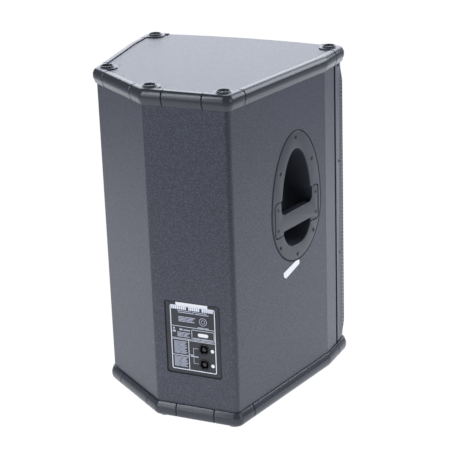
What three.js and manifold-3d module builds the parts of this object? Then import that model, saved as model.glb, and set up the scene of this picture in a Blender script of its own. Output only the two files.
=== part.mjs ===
// A 15 inch two-way PA speaker cabinet, built as it comes apart on a bench.
// Millimetres, +Z up, front towards -Y, +X to the right seen from the front.
// The origin is on the floor, under the middle of the cabinet.
import * as THREE from "three";
import { mergeVertices } from "three/addons/utils/BufferGeometryUtils.js";
import Module from "manifold-3d";

const wasm = await Module();
wasm.setup();

// ---- driving dimensions ----
const GAP = 0.3; // clearance kept between neighbouring pieces
const PLY = 15; // plywood thickness
const TOP_FACE = 698.5; // upper surface of the top panel
const BOTTOM_FACE = 8; // lower surface of the bottom panel
const FOOT_HEIGHT = 5.2;
const CORNER_RADIUS = 12; // rounding of the plywood box
const FRONT_CENTRE_Y = -228; // the front edge bows forward to here
const REAR_Y = 220.5;
const FRONT_STEPS = 10; // straight stretches along the bowed front edge

// Outline of the box in plan, anticlockwise from the front left corner.
const FRONT_LEFT = [-224, -210.5];
const FRONT_RIGHT = [224, -210.5];
const RIGHT_BEND = [220.5, -112];
const REAR_RIGHT = [193, 101.5];
const REAR_MIDDLE = [30, REAR_Y];
const REAR_LEFT = [-150, REAR_Y];
const LEFT_BEND = [-220.5, -112];

// Moulded edge protection. Its nose starts on top of the panel, is nose deep, stands upright
// down to face, and then leans back in to its toe.
const RAIL = {
  proud: 7.5,
  cover: 10,
  height: 31.5,
  lip: 2.5,
  noseStart: 2,
  nose: 14.5,
  face: 20,
  toe: 2.9,
};
const SEAM = 1.4; // butt joint between two lengths of rail
const CUP = { inset: 21.5, ear: 21.5, base: 17.3, rim: 14, bore: 11, proud: 3.5, floor: 1 };

// Grille, the rebate in the cheeks that it folds around, and the open groove behind its edge.
const REBATE = { start: 51, depth: 3, frontGap: 18, groove: 10, grooveDepth: 11 };
const GRILLE = { sheet: 1.5, flange: 35.2, setBack: 2.5, inset: 0.7 };
const FOAM = { thickness: 6, halfWidth: 203 };

// Front baffle and what it carries.
const BAFFLE = { front: -190, thickness: 18, halfWidth: 206.5 };
const WOOFER = { z: 235, frame: 194, cutout: 177.5, coil: 37.5 };
const HORN = { z: 565, width: 240, height: 190, mouthX: 103, mouthZ: 80, depth: 110, throat: 12.7 };
const PORT = { x: 164, bore: 34, wall: 2.5, flange: 41, length: 85 };

// Side handles, measured along their wall and up from the floor.
const HANDLE = {
  z: 405,
  fromBend: 111.6,
  flange: { half: 89.5, up: 166, down: 109 },
  opening: { half: 54, up: 131, down: 77 },
  proud: 0.8,
  rebate: 5,
  clearance: 2,
  depth: 80,
  wall: 2.5,
};
const GRIP = {
  half: 79,
  low: 364,
  high: 436.5,
  barLow: 371,
  barHigh: 406,
  barDepth: 20,
  open: 57,
  seat: 3,
};

// Terminal plate in the rear panel.
const PLATE = { x: -56, z: 186, width: 118, height: 156, sheet: 4.4, rebate: 6, clearance: 2 };
const SOCKET = {
  x: -78.8,
  z: [166.5, 133.5],
  ring: 11.4,
  groove: 9.5,
  post: 4.5,
  body: 13,
  proud: -0.4,
};
const POLE = { bore: 18, wall: 3, depth: 80, flange: 48 };

const INNER_FLOOR = BOTTOM_FACE + PLY;
const INNER_CEILING = TOP_FACE - PLY;

// ---- materials ----
function finish(color, roughness, metalness = 0) {
  return new THREE.MeshStandardMaterial({ color, roughness, metalness });
}
const PAINTED_PLY = finish(0x4d4f58, 0.75);
const MOULDING = finish(0x55565f, 0.45);
const BLACK_PLASTIC = finish(0x1c1c20, 0.5);
const GRILLE_PAINT = finish(0x5a5b62, 0.5, 0.3);
const RUBBER = finish(0x151517, 0.9);
const FOAM_CLOTH = finish(0x18181a, 1);
const PLATE_PAINT = finish(0x3a3b42, 0.6);
const BARE_STEEL = finish(0x8c8e92, 0.4, 0.9);
const FERRITE = finish(0x2b2b2d, 0.7);
const PAPER = finish(0x1a1a1c, 0.9);
const COPPER = finish(0xb06a3a, 0.4, 0.8);
const BOARD_GREEN = finish(0x2f5a3c, 0.6);
const RAW_PLY = finish(0xb08d5f, 0.8);
const WADDING = finish(0xd8d4c8, 1);

// ---- solids ----
// A closed geometry as a solid with its faces turned outwards.
function solid(geometry) {
  const bare = geometry.clone();
  bare.deleteAttribute("normal");
  bare.deleteAttribute("uv");
  const merged = mergeVertices(bare, 1e-4);
  const vertProperties = merged.attributes.position.array;
  const triVerts = new Uint32Array(merged.index.array);
  const made = new wasm.Manifold(new wasm.Mesh({ numProp: 3, vertProperties, triVerts }));
  if (made.volume() > 0) return made;
  for (let i = 0; i < triVerts.length; i += 3) {
    [triVerts[i + 1], triVerts[i + 2]] = [triVerts[i + 2], triVerts[i + 1]];
  }
  return new wasm.Manifold(new wasm.Mesh({ numProp: 3, vertProperties, triVerts }));
}

function geometryOf(manifold) {
  const mesh = manifold.getMesh();
  const geometry = new THREE.BufferGeometry();
  geometry.setAttribute("position", new THREE.BufferAttribute(mesh.vertProperties, 3));
  geometry.setIndex(new THREE.BufferAttribute(mesh.triVerts, 1));
  geometry.computeVertexNormals();
  return geometry;
}

const cabinet = new THREE.Group();

function addPiece(name, manifold, material) {
  const mesh = new THREE.Mesh(geometryOf(manifold), material);
  mesh.name = name;
  cabinet.add(mesh);
}

function shapeOf(points) {
  return new THREE.Shape(points.map(([x, y]) => new THREE.Vector2(x, y)));
}

function withHoles(shape, holes) {
  shape.holes = holes.map((points) => new THREE.Path(shapeOf(points).getPoints()));
  return shape;
}

function extrusion(shape, low, high) {
  const options = { depth: high - low, bevelEnabled: false, curveSegments: 8 };
  return new THREE.ExtrudeGeometry(shape, options).translate(0, 0, low);
}

// A shape drawn in plan, between two heights.
function upright(shape, low, high) {
  return solid(extrusion(shape, low, high));
}

// A shape drawn in the XZ plane, between two depths.
function frontal(shape, near, far) {
  return solid(extrusion(shape, -far, -near).rotateX(Math.PI / 2));
}

// A profile of [radius, height] points turned about Z.
function turned(profile, x, y, sides = 24) {
  const points = profile.map(([r, h]) => new THREE.Vector2(r, h));
  return solid(new THREE.LatheGeometry(points, sides).rotateX(Math.PI / 2).translate(x, y, 0));
}

// A profile of [radius, depth] points turned about an axis that runs front to back.
function turnedFrontal(profile, x, y, z, sides = 48) {
  const points = profile.map(([r, h]) => new THREE.Vector2(r, h));
  return solid(new THREE.LatheGeometry(points, sides).translate(x, y, z));
}

function box(x0, x1, y0, y1, z0, z1) {
  const geometry = new THREE.BoxGeometry(x1 - x0, y1 - y0, z1 - z0);
  return solid(geometry.translate((x0 + x1) / 2, (y0 + y1) / 2, (z0 + z1) / 2));
}

function circle(cx, cy, radius, sides) {
  return Array.from({ length: sides }, (_, i) => {
    const angle = (2 * Math.PI * i) / sides;
    return [cx + radius * Math.cos(angle), cy + radius * Math.sin(angle)];
  });
}

function roundedRectangle(x0, x1, y0, y1, radius, steps = 3) {
  const centres = [
    [x1 - radius, y0 + radius, -90],
    [x1 - radius, y1 - radius, 0],
    [x0 + radius, y1 - radius, 90],
    [x0 + radius, y0 + radius, 180],
  ];
  return centres.flatMap(([cx, cy, start]) =>
    Array.from({ length: steps + 1 }, (_, i) => {
      const angle = THREE.MathUtils.degToRad(start + (90 * i) / steps);
      return [cx + radius * Math.cos(angle), cy + radius * Math.sin(angle)];
    }),
  );
}

// An egg: half an ellipse above its centre line and a fuller half below.
function egg(cx, cy, { half, up, down }, grow, fullness, sides) {
  return Array.from({ length: sides }, (_, i) => {
    const angle = (2 * Math.PI * i) / sides;
    const power = Math.sin(angle) < 0 ? 2 / fullness : 1;
    const reach = Math.sin(angle) < 0 ? down : up;
    const x = Math.sign(Math.cos(angle)) * Math.abs(Math.cos(angle)) ** power;
    const y = Math.sign(Math.sin(angle)) * Math.abs(Math.sin(angle)) ** power;
    return [cx + (half + grow) * x, cy + (reach + grow) * y];
  });
}

// ---- the outline in plan ----
function bowedFront(x) {
  const sagitta = FRONT_LEFT[1] - FRONT_CENTRE_Y;
  return FRONT_CENTRE_Y + sagitta * (x / FRONT_RIGHT[0]) ** 2;
}

const frontEdge = Array.from({ length: FRONT_STEPS - 1 }, (_, i) => {
  const x = FRONT_LEFT[0] + ((i + 1) * (FRONT_RIGHT[0] - FRONT_LEFT[0])) / FRONT_STEPS;
  return { at: [x, bowedFront(x)], radius: 0 };
});
const rounded = (at) => ({ at, radius: CORNER_RADIUS });
const OUTLINE = [
  rounded(FRONT_LEFT),
  ...frontEdge,
  ...[FRONT_RIGHT, RIGHT_BEND, REAR_RIGHT, REAR_MIDDLE, REAR_LEFT, LEFT_BEND].map(rounded),
];
const WALL = {
  frontLeftEdge: 0,
  frontRightEdge: FRONT_STEPS - 1,
  rightCheek: FRONT_STEPS,
  right: FRONT_STEPS + 1,
  angle: FRONT_STEPS + 2,
  rear: FRONT_STEPS + 3,
  left: FRONT_STEPS + 4,
  leftCheek: FRONT_STEPS + 5,
};

const wrap = (k) => (k + OUTLINE.length) % OUTLINE.length;
const vertex = (k) => OUTLINE[wrap(k)];

// The wall that starts at vertex k: its direction, outward normal and length.
function wall(k) {
  const [ax, ay] = vertex(k).at;
  const [bx, by] = vertex(k + 1).at;
  const length = Math.hypot(bx - ax, by - ay);
  const [tx, ty] = [(bx - ax) / length, (by - ay) / length];
  return { start: [ax, ay], along: [tx, ty], out: [ty, -tx], length };
}

function onWall(k, distance, offset = 0) {
  const { start, along, out } = wall(k);
  return [0, 1].map((i) => start[i] + along[i] * distance + out[i] * offset);
}

// The corner of the outline moved out by offset, as its two walls move.
function mitre(k, offset) {
  const before = wall(k - 1).out;
  const after = wall(k).out;
  const scale = offset / (1 + before[0] * after[0] + before[1] * after[1]);
  return vertex(k).at.map((v, i) => v + (before[i] + after[i]) * scale);
}

// Points round one corner, each with the outward direction there.
function cornerStations(k) {
  const before = wall(k - 1).out;
  const after = wall(k).out;
  const { at, radius } = vertex(k);
  const turn = Math.acos(before[0] * after[0] + before[1] * after[1]);
  if (radius === 0) {
    const [mx, my] = mitre(k, 1);
    return [{ at, out: [mx - at[0], my - at[1]] }];
  }
  const centre = mitre(k, -radius);
  const first = Math.atan2(before[1], before[0]);
  const steps = 2 * Math.ceil(turn / THREE.MathUtils.degToRad(45));
  return Array.from({ length: steps + 1 }, (_, i) => {
    const angle = first + (turn * i) / steps;
    const out = [Math.cos(angle), Math.sin(angle)];
    return { at: centre.map((c, j) => c + out[j] * radius), out };
  });
}

// Stations from a distance along wall a to a distance along wall b.
function stations(a, from, b, to) {
  const list = [{ at: onWall(a, from), out: wall(a).out }];
  for (let k = a + 1; k <= b; k++) list.push(...cornerStations(k));
  list.push({ at: onWall(b, to), out: wall(b).out });
  return list;
}

function fullOutline(offset) {
  return OUTLINE.flatMap((_, k) =>
    cornerStations(k).map(({ at, out }) => at.map((v, i) => v + out[i] * offset)),
  );
}

// A profile of [outwards, height] points swept along stations.
function swept(list, outline) {
  const clockwise = THREE.ShapeUtils.area(shapeOf(outline).getPoints()) < 0;
  const profile = clockwise ? outline.toReversed() : outline;
  const n = profile.length;
  const vertices = list.flatMap(({ at, out }) =>
    profile.flatMap(([u, v]) => [at[0] + out[0] * u, at[1] + out[1] * u, v]),
  );
  const faces = [];
  for (let s = 0; s + 1 < list.length; s++) {
    for (let i = 0; i < n; i++) {
      const [a, b] = [s * n + i, s * n + ((i + 1) % n)];
      faces.push(a, a + n, b, b, a + n, b + n);
    }
  }
  const section = profile.map(([u, v]) => new THREE.Vector2(u, v));
  const last = (list.length - 1) * n;
  for (const [a, b, c] of THREE.ShapeUtils.triangulateShape(section, [])) {
    faces.push(a, b, c, last + a, last + c, last + b);
  }
  const geometry = new THREE.BufferGeometry();
  geometry.setAttribute("position", new THREE.Float32BufferAttribute(vertices, 3));
  geometry.setIndex(faces);
  return solid(geometry);
}

// The frame of a wall: x along it, y up, z outwards.
function wallFrame(k) {
  const { start, along, out } = wall(k);
  const frame = new THREE.Matrix4().makeBasis(
    new THREE.Vector3(along[0], along[1], 0),
    new THREE.Vector3(0, 0, 1),
    new THREE.Vector3(out[0], out[1], 0),
  );
  return frame.setPosition(start[0], start[1], 0);
}

function onWallSolid(k, shape, low, high) {
  return solid(extrusion(shape, low, high).applyMatrix4(wallFrame(k)));
}

function turnedOnWall(k, profile, s, z, sides) {
  const points = profile.map(([r, h]) => new THREE.Vector2(r, h));
  const geometry = new THREE.LatheGeometry(points, sides).rotateX(Math.PI / 2);
  return solid(geometry.translate(s, z, 0).applyMatrix4(wallFrame(k)));
}

// ---- plywood box ----
function makeTopPanel() {
  return upright(shapeOf(fullOutline(0)), INNER_CEILING, TOP_FACE);
}

function makeBottomPanel() {
  const panel = shapeOf(fullOutline(0));
  const poleHole = circle(0, 0, POLE.bore + POLE.wall + 1, 24);
  return upright(withHoles(panel, [poleHole]), BOTTOM_FACE, INNER_FLOOR);
}

// One side of the box, mitred to its neighbours with half a gap at each end.
function wallShape(k) {
  const half = (list) => (list.length - 1) / 2;
  const first = cornerStations(k);
  const second = cornerStations(k + 1);
  const start = first.slice(half(first)).map((s) => s.at);
  const end = second.slice(0, half(second) + 1).map((s) => s.at);
  const { along } = wall(k);
  const nudge = (point, distance) => point.map((v, i) => v + along[i] * distance);
  start[0] = nudge(start[0], GAP / 2);
  end[end.length - 1] = nudge(end[end.length - 1], -GAP / 2);
  const back = [nudge(mitre(k + 1, -PLY), -GAP / 2), nudge(mitre(k, -PLY), GAP / 2)];
  return shapeOf([...start, ...end, ...back]);
}

function makeWall(k) {
  return upright(wallShape(k), INNER_FLOOR + GAP, INNER_CEILING - GAP);
}

function handleHole(k, s) {
  const opening = egg(s, HANDLE.z, HANDLE.opening, HANDLE.wall + 1.5, 2.5, 24);
  const sides = roundedRectangle(
    s - GRIP.open - HANDLE.wall - 1.5, s + GRIP.open + HANDLE.wall + 1.5,
    GRIP.low - 2, GRIP.high + 2, 8,
  );
  const rebate = egg(s, HANDLE.z, HANDLE.flange, HANDLE.clearance, 2, 36);
  return onWallSolid(k, shapeOf(opening), -PLY - 1, 1)
    .add(onWallSolid(k, shapeOf(sides), -PLY - 1, 1))
    .add(onWallSolid(k, shapeOf(rebate), -HANDLE.rebate, 1));
}

function plateRectangle(grow, radius) {
  const s = REAR_MIDDLE[0] - PLATE.x;
  const [w, h] = [PLATE.width / 2 + grow, PLATE.height / 2 + grow];
  return shapeOf(roundedRectangle(s - w, s + w, PLATE.z - h, PLATE.z + h, radius));
}

function makeRearPanel() {
  const rebate = onWallSolid(WALL.rear, plateRectangle(PLATE.clearance, 6), -PLATE.rebate, 1);
  const through = onWallSolid(WALL.rear, plateRectangle(-9, 4), -PLY - 1, 1);
  return makeWall(WALL.rear).subtract(rebate).subtract(through);
}

// A cheek runs from a side's bend to the front, and is thinner where the grille folds round it.
function makeCheek(left) {
  const k = left ? WALL.leftCheek : WALL.rightCheek;
  const { length } = wall(k);
  const far = left ? (d) => d : (d) => length - d;
  const bend = left ? k : k + 1;
  const frontEnd = length - REBATE.frontGap;
  const bendStations = cornerStations(bend);
  const outerMiddle = bendStations[(bendStations.length - 1) / 2].at;
  const outerEnd = bendStations[left ? bendStations.length - 1 : 0].at;
  const sign = left ? 1 : -1;
  const nudge = (point) => point.map((v, i) => v + wall(k).along[i] * sign * (GAP / 2));
  const points = [
    nudge(outerMiddle),
    outerEnd,
    onWall(k, far(REBATE.start)),
    onWall(k, far(REBATE.start), -REBATE.grooveDepth),
    onWall(k, far(REBATE.start + REBATE.groove), -REBATE.grooveDepth),
    onWall(k, far(REBATE.start + REBATE.groove), -REBATE.depth),
    onWall(k, far(frontEnd), -REBATE.depth),
    onWall(k, far(frontEnd), -PLY),
    nudge(mitre(bend, -PLY)),
  ];
  return upright(shapeOf(points), INNER_FLOOR + GAP, INNER_CEILING - GAP);
}

function makeBaffle() {
  const panel = shapeOf([
    [-BAFFLE.halfWidth, INNER_FLOOR + GAP],
    [BAFFLE.halfWidth, INNER_FLOOR + GAP],
    [BAFFLE.halfWidth, INNER_CEILING - GAP],
    [-BAFFLE.halfWidth, INNER_CEILING - GAP],
  ]);
  const hornHole = roundedRectangle(
    -HORN.mouthX - 8, HORN.mouthX + 8, HORN.z - HORN.mouthZ - 8, HORN.z + HORN.mouthZ + 8, 10,
  );
  const portHoles = [-PORT.x, PORT.x].map((x) =>
    circle(x, HORN.z, PORT.bore + PORT.wall + 1.2, 20),
  );
  const holes = [circle(0, WOOFER.z, WOOFER.cutout, 32), hornHole, ...portHoles];
  return frontal(withHoles(panel, holes), BAFFLE.front, BAFFLE.front + BAFFLE.thickness);
}

function makeBrace() {
  const low = 446;
  const near = BAFFLE.front + BAFFLE.thickness + GAP;
  return box(-70, 15, near, REAR_Y - PLY - GAP, low, low + PLY);
}

function makeWadding() {
  const { length } = wall(WALL.angle);
  const sheet = shapeOf(roundedRectangle(22, length - 22, 60, 640, 10));
  return onWallSolid(WALL.angle, sheet, -PLY - 18, -PLY - 0.5);
}

// ---- edge protection ----
// The rail's section as [outwards, depth below its outer face]: a lip over the panel, a rounded
// nose, and a lower face that leans back to the wall.
function railSection() {
  const nose = [0, 30, 60, 90].map((degrees) => {
    const angle = THREE.MathUtils.degToRad(degrees);
    const reach = RAIL.proud + RAIL.noseStart;
    return [reach * Math.sin(angle) - RAIL.noseStart, RAIL.nose * (1 - Math.cos(angle))];
  });
  return [
    [-RAIL.cover, RAIL.lip - GAP],
    [-RAIL.cover, 0.8],
    [-RAIL.cover + 1, 0],
    ...nose,
    [RAIL.proud, RAIL.face],
    [RAIL.toe, RAIL.height],
    [GAP, RAIL.height],
    [GAP, RAIL.lip - GAP],
  ];
}

// Heights in the top and bottom runs, from a depth below the rail's outer face.
const LEVEL = {
  top: (depth) => TOP_FACE + RAIL.lip - depth,
  bottom: (depth) => BOTTOM_FACE - RAIL.lip + depth,
};

function makeRail(run, a, from, b, to) {
  const profile = railSection().map(([u, depth]) => [u, LEVEL[run](depth)]);
  return swept(stations(a, from, b, to), profile);
}

// A flat ear under the cup, and on the top run the raised cup itself.
function makeEar(run, k) {
  const [x, y] = mitre(k, -CUP.inset);
  const level = LEVEL[run];
  const disc = [
    [0, level(RAIL.lip - GAP)],
    [CUP.ear, level(RAIL.lip - GAP)],
    [CUP.ear, level(0)],
    [0, level(0)],
  ];
  const ear = turned(disc, x, y, 20);
  if (run === "bottom") return ear;
  const cup = [
    [0, level(1)],
    [CUP.base, level(1)],
    [CUP.base, level(-0.5)],
    [CUP.rim, level(-CUP.proud)],
    [0, level(-CUP.proud)],
  ];
  const recess = [
    [0, level(CUP.floor)],
    [CUP.bore, level(CUP.floor)],
    [CUP.bore, level(-CUP.proud - 1)],
    [0, level(-CUP.proud - 1)],
  ];
  return ear.add(turned(cup, x, y, 20)).subtract(turned(recess, x, y, 16));
}

// How far each corner piece reaches along the walls before and after its corner.
const CORNERS = {
  rear_left: { k: WALL.left, before: 51, after: 48.5 },
  rear_middle: { k: WALL.rear, before: 39, after: 42.5 },
  rear_right: { k: WALL.angle, before: 42, after: 41.8 },
  front_left: { k: WALL.frontLeftEdge + OUTLINE.length, before: 47, after: 44.5 },
  front_right: { k: WALL.rightCheek, before: 44.5, after: 47 },
};

function makeCorner(run, { k, before, after }) {
  const rail = makeRail(run, k - 1, wall(k - 1).length - before, k, after);
  return rail.add(makeEar(run, k));
}

const { rear_left, rear_middle, rear_right, front_left, front_right } = CORNERS;
const RAILS = {
  rear: [rear_middle, rear_left],
  angle: [rear_right, rear_middle],
  left: [rear_left, front_left],
  right: [front_right, rear_right],
};

// A straight length runs from one corner piece to the next, round any bend between them.
function makeStraight(run, [first, second]) {
  const last = second.k - 1;
  const end = wall(last).length - second.before - SEAM;
  return makeRail(run, first.k, first.after + SEAM, last, end);
}

function makeFoot(k) {
  const [x, y] = mitre(k, -CUP.inset);
  const profile = [
    [0, 0],
    [14.5, 0],
    [16.5, FOOT_HEIGHT],
    [0, FOOT_HEIGHT],
  ];
  return turned(profile, x, y, 16);
}

// ---- handles ----
function gripOutline(s, grow) {
  return roundedRectangle(
    s - GRIP.half - grow, s + GRIP.half + grow, GRIP.low - grow, GRIP.high + grow, 6,
  );
}

function makeHandleCup(k, s) {
  const face = HANDLE.proud;
  const back = -HANDLE.rebate + GAP;
  const flange = onWallSolid(
    k, shapeOf(egg(s, HANDLE.z, HANDLE.flange, 0, 2, 36)), back, face,
  );
  const open = egg(s, HANDLE.z, HANDLE.opening, 0, 2.5, 24);
  const shell = egg(s, HANDLE.z, HANDLE.opening, HANDLE.wall, 2.5, 24);
  const side = (grow) =>
    shapeOf(roundedRectangle(
      s - GRIP.open - grow, s + GRIP.open + grow, GRIP.low + 2 - grow, GRIP.high + grow, 8,
    ));
  const body = onWallSolid(k, shapeOf(shell), -HANDLE.depth, back + 1)
    .add(onWallSolid(k, side(HANDLE.wall), -HANDLE.depth, back + 1));
  const hollow = onWallSolid(k, shapeOf(open), -HANDLE.depth + HANDLE.wall, face + 1)
    .add(onWallSolid(k, side(0), -HANDLE.depth + HANDLE.wall, face + 1));
  const seat = onWallSolid(k, shapeOf(gripOutline(s, 1.6)), face - GRIP.seat, face + 1);
  return flange.add(body).subtract(hollow).subtract(seat);
}

// The grip insert: two screwed tabs joined by the finger bar.
function makeGrip(k, s) {
  const face = HANDLE.proud;
  const plate = onWallSolid(k, shapeOf(gripOutline(s, 0)), face - GRIP.seat + GAP, face);
  const upper = roundedRectangle(
    s - GRIP.open, s + GRIP.open, GRIP.barHigh, GRIP.high + 30, 14,
  );
  const lower = roundedRectangle(s - 50, s + 50, GRIP.low - 20, GRIP.barLow, 2);
  const bar = roundedRectangle(
    s - GRIP.open + 0.6, s + GRIP.open - 0.6, GRIP.barLow, GRIP.barHigh, 8,
  );
  return plate
    .subtract(onWallSolid(k, shapeOf(upper), face - GRIP.seat, face + 1))
    .subtract(onWallSolid(k, shapeOf(lower), face - GRIP.seat, face + 1))
    .add(onWallSolid(k, shapeOf(bar), -GRIP.barDepth, face));
}

// ---- terminal plate and crossover ----
function makePlate() {
  const plate = plateRectangle(0, 5);
  const s = REAR_MIDDLE[0] - SOCKET.x;
  withHoles(plate, SOCKET.z.map((z) => circle(s, z, SOCKET.ring + 0.6, 16)));
  return onWallSolid(WALL.rear, plate, -PLATE.rebate + GAP, -PLATE.rebate + GAP + PLATE.sheet);
}

function makeSocket(z) {
  const behind = -PLATE.rebate;
  const profile = [
    [0, -26],
    [SOCKET.body, -26],
    [SOCKET.body, behind - GAP],
    [SOCKET.ring, behind - GAP],
    [SOCKET.ring, SOCKET.proud],
    [SOCKET.groove, SOCKET.proud],
    [SOCKET.groove, -18],
    [SOCKET.post, -18],
    [SOCKET.post, SOCKET.proud - 1.4],
    [0, SOCKET.proud - 1.4],
  ];
  return turnedOnWall(WALL.rear, profile, REAR_MIDDLE[0] - SOCKET.x, z, 16);
}

const BOARD_Y = 176;
function makeCrossoverBoard() {
  const board = box(PLATE.x - 46, PLATE.x + 46, BOARD_Y, BOARD_Y + 2, PLATE.z - 62, PLATE.z + 62);
  const posts = [-43, 43].flatMap((dx) =>
    [-55, 55].map((dz) =>
      turnedFrontal(
        [[0, 0], [4, 0], [4, REAR_Y - PLATE.rebate - BOARD_Y - 2], [0, REAR_Y - PLATE.rebate - BOARD_Y - 2]],
        PLATE.x + dx, BOARD_Y + 1, PLATE.z + dz, 10,
      ),
    ),
  );
  return posts.reduce((whole, post) => whole.add(post), board);
}

function makeCoil() {
  const profile = [[12, 0], [27, 0], [27, 26], [12, 26], [12, 0]];
  return turnedFrontal(profile, PLATE.x - 12, BOARD_Y - 26 - GAP, PLATE.z + 30, 24);
}

function makeCapacitor() {
  const profile = [[0, 0], [13, 0], [13, 40], [0, 40]];
  return turnedFrontal(profile, PLATE.x + 15, BOARD_Y - 40 - GAP, PLATE.z - 32, 20);
}

// ---- woofer, as [radius, depth behind the baffle's front face] ----
function woofer(profile, sides = 28) {
  return turnedFrontal(profile, 0, BAFFLE.front, WOOFER.z, sides);
}

function makeBasket() {
  const profile = [
    [WOOFER.frame, -8],
    [WOOFER.frame, -GAP],
    [176, -GAP],
    [173, 8],
    [96, 90],
    [96, 100],
    [52, 100],
    [52, 95],
    [89, 88],
    [166, 6],
    [168, -4],
    [178, -4],
    [178, -8],
    [WOOFER.frame, -8],
  ];
  const windows = Array.from({ length: 4 }, (_, i) => {
    const window = new THREE.BoxGeometry(120, 52, 100);
    window.translate(0, 46, 150).rotateY(((i + 0.5) * Math.PI) / 2);
    return solid(window.translate(0, BAFFLE.front, WOOFER.z));
  });
  return windows.reduce((basket, window) => basket.subtract(window), woofer(profile));
}

function makeMagnet() {
  const [pole, gap] = [WOOFER.coil - 1.7, WOOFER.coil + 2.3];
  return woofer([
    [0, 94], [pole, 94], [pole, 126], [gap + 6, 126], [gap + 6, 108], [gap, 108],
    [gap, 100 + GAP], [78, 100 + GAP], [78, 108.5], [92, 108.5], [92, 131], [78, 131],
    [78, 139], [0, 139],
  ], 20);
}

const coneFace = (r) => 4 + (152 - r) * 0.566; // depth of the cone's front at a radius
const NECK = WOOFER.coil + 1.4;

function makeCone() {
  const [inner, outer] = [NECK, 150];
  return woofer([
    [inner, coneFace(inner)], [outer, coneFace(outer)], [outer, coneFace(outer) + 1.5],
    [inner, coneFace(inner) + 1.7], [inner, coneFace(inner)],
  ]);
}

function makeVoiceCoil() {
  const [inner, outer] = [WOOFER.coil - 0.7, WOOFER.coil + 0.9];
  return woofer([[inner, 62], [outer, 62], [outer, 114], [inner, 114], [inner, 62]], 24);
}

function makeDustCap() {
  const rim = 60;
  const front = coneFace(rim) - 1.6;
  const dome = (r) => front - 18 * (1 - (r / rim) ** 2);
  const radii = [0, 30, 48, rim];
  const outside = radii.map((r) => [r, dome(r)]);
  const inside = radii.map((r) => [r, dome(r) + 1.2]).reverse();
  return woofer([...outside, ...inside], 24);
}

function makeSurround() {
  const middle = 159.5;
  const arc = (radius, angles) =>
    angles.map((degrees) => {
      const angle = THREE.MathUtils.degToRad(degrees);
      return [middle + radius * Math.cos(angle), -3.5 - radius * Math.sin(angle)];
    });
  return woofer([
    [150.5, 4.5], [150.5, 3.2], ...arc(8.4, [180, 120, 60, 0]), [168, -5.4],
    [177, -5.4], [177, -4 - GAP], [167.2, -4 - GAP], ...arc(7.3, [25, 70, 120, 180]),
    [152.4, 4.5], [150.5, 4.5],
  ]);
}

function makeSpider() {
  const [inner, outer] = [WOOFER.coil + 1.3, 88.4];
  const waves = 3;
  const steps = waves * 2;
  const front = Array.from({ length: steps + 1 }, (_, i) => {
    const r = inner + ((outer - inner) * i) / steps;
    return [r, 86 - 1.6 * Math.cos((2 * Math.PI * waves * i) / steps)];
  });
  const back = front.map(([r, h]) => [r, h + 0.9]).reverse();
  return woofer([...front, ...back, front[0]], 24);
}

// ---- horn and compression driver ----
// A closed loft through rings of [x, z] points at increasing depth y.
function loft(rings) {
  const n = rings[0].points.length;
  const vertices = rings.flatMap(({ y, points }) => points.flatMap(([x, z]) => [x, y, z]));
  const faces = [];
  for (let s = 0; s + 1 < rings.length; s++) {
    for (let i = 0; i < n; i++) {
      const [a, b] = [s * n + i, s * n + ((i + 1) % n)];
      faces.push(a, b, a + n, b, b + n, a + n);
    }
  }
  const last = (rings.length - 1) * n;
  for (let i = 1; i + 1 < n; i++) {
    faces.push(0, i + 1, i, last, last + i, last + i + 1);
  }
  const geometry = new THREE.BufferGeometry();
  geometry.setAttribute("position", new THREE.Float32BufferAttribute(vertices, 3));
  geometry.setIndex(faces);
  return solid(geometry);
}

const FLARE_SIDES = 24;

// The flare at a share of the way from throat (0) to mouth (1): round, then squarer.
function flareRing(share, grow) {
  const spread = share ** 1.7;
  const halfX = HORN.throat + (HORN.mouthX - HORN.throat) * spread + grow;
  const halfZ = HORN.throat + (HORN.mouthZ - HORN.throat) * spread + grow;
  const squareness = 2 / (2 + 5 * share);
  const points = Array.from({ length: FLARE_SIDES }, (_, i) => {
    const angle = (2 * Math.PI * (i + 0.5)) / FLARE_SIDES;
    const [c, s] = [Math.cos(angle), Math.sin(angle)];
    return [
      halfX * Math.sign(c) * Math.abs(c) ** squareness,
      HORN.z + halfZ * Math.sign(s) * Math.abs(s) ** squareness,
    ];
  });
  return { y: BAFFLE.front + HORN.depth * (1 - share), points };
}

function makeHorn() {
  const shares = [0, 0.25, 0.5, 0.75, 1];
  const outside = shares.map((share) => flareRing(share, 4));
  const inside = shares.map((share) => flareRing(share, 0));
  const moved = (ring, distance) => ({ y: ring.y + distance, points: ring.points });
  const shell = loft([...outside, moved(outside.at(-1), -3)]);
  const [halfX, halfZ] = [HORN.width / 2, HORN.height / 2];
  const frame = shapeOf(
    roundedRectangle(-halfX, halfX, HORN.z - halfZ, HORN.z + halfZ, 8),
  );
  return shell
    .add(frontal(frame, BAFFLE.front - 5, BAFFLE.front - GAP))
    .subtract(loft([moved(inside[0], 1), ...inside, moved(inside.at(-1), -8)]));
}

const DRIVER_Y = BAFFLE.front + HORN.depth + GAP;
function driver(profile, sides = 20) {
  return turnedFrontal(profile, 0, DRIVER_Y, HORN.z, sides);
}

function makeDriverBody() {
  return driver([
    [HORN.throat, 0], [30, 0], [30, 6], [48, 8], [48, 42], [32, 42], [32, 30],
    [HORN.throat, 30], [HORN.throat, 0],
  ]);
}

function makeDriverCap() {
  return driver([
    [28, 42 + GAP], [47, 42 + GAP], [47, 54], [42, 60], [0, 60], [0, 52], [28, 52], [28, 42 + GAP],
  ]);
}

function makeDiaphragm() {
  const dome = [[0, 38], [12, 36.8], [20, 34.2], [25, 32.4], [30.5, 32.4]];
  const back = dome.map(([r, h]) => [r, h + 0.8]).reverse();
  return driver([...dome, ...back]);
}

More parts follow.
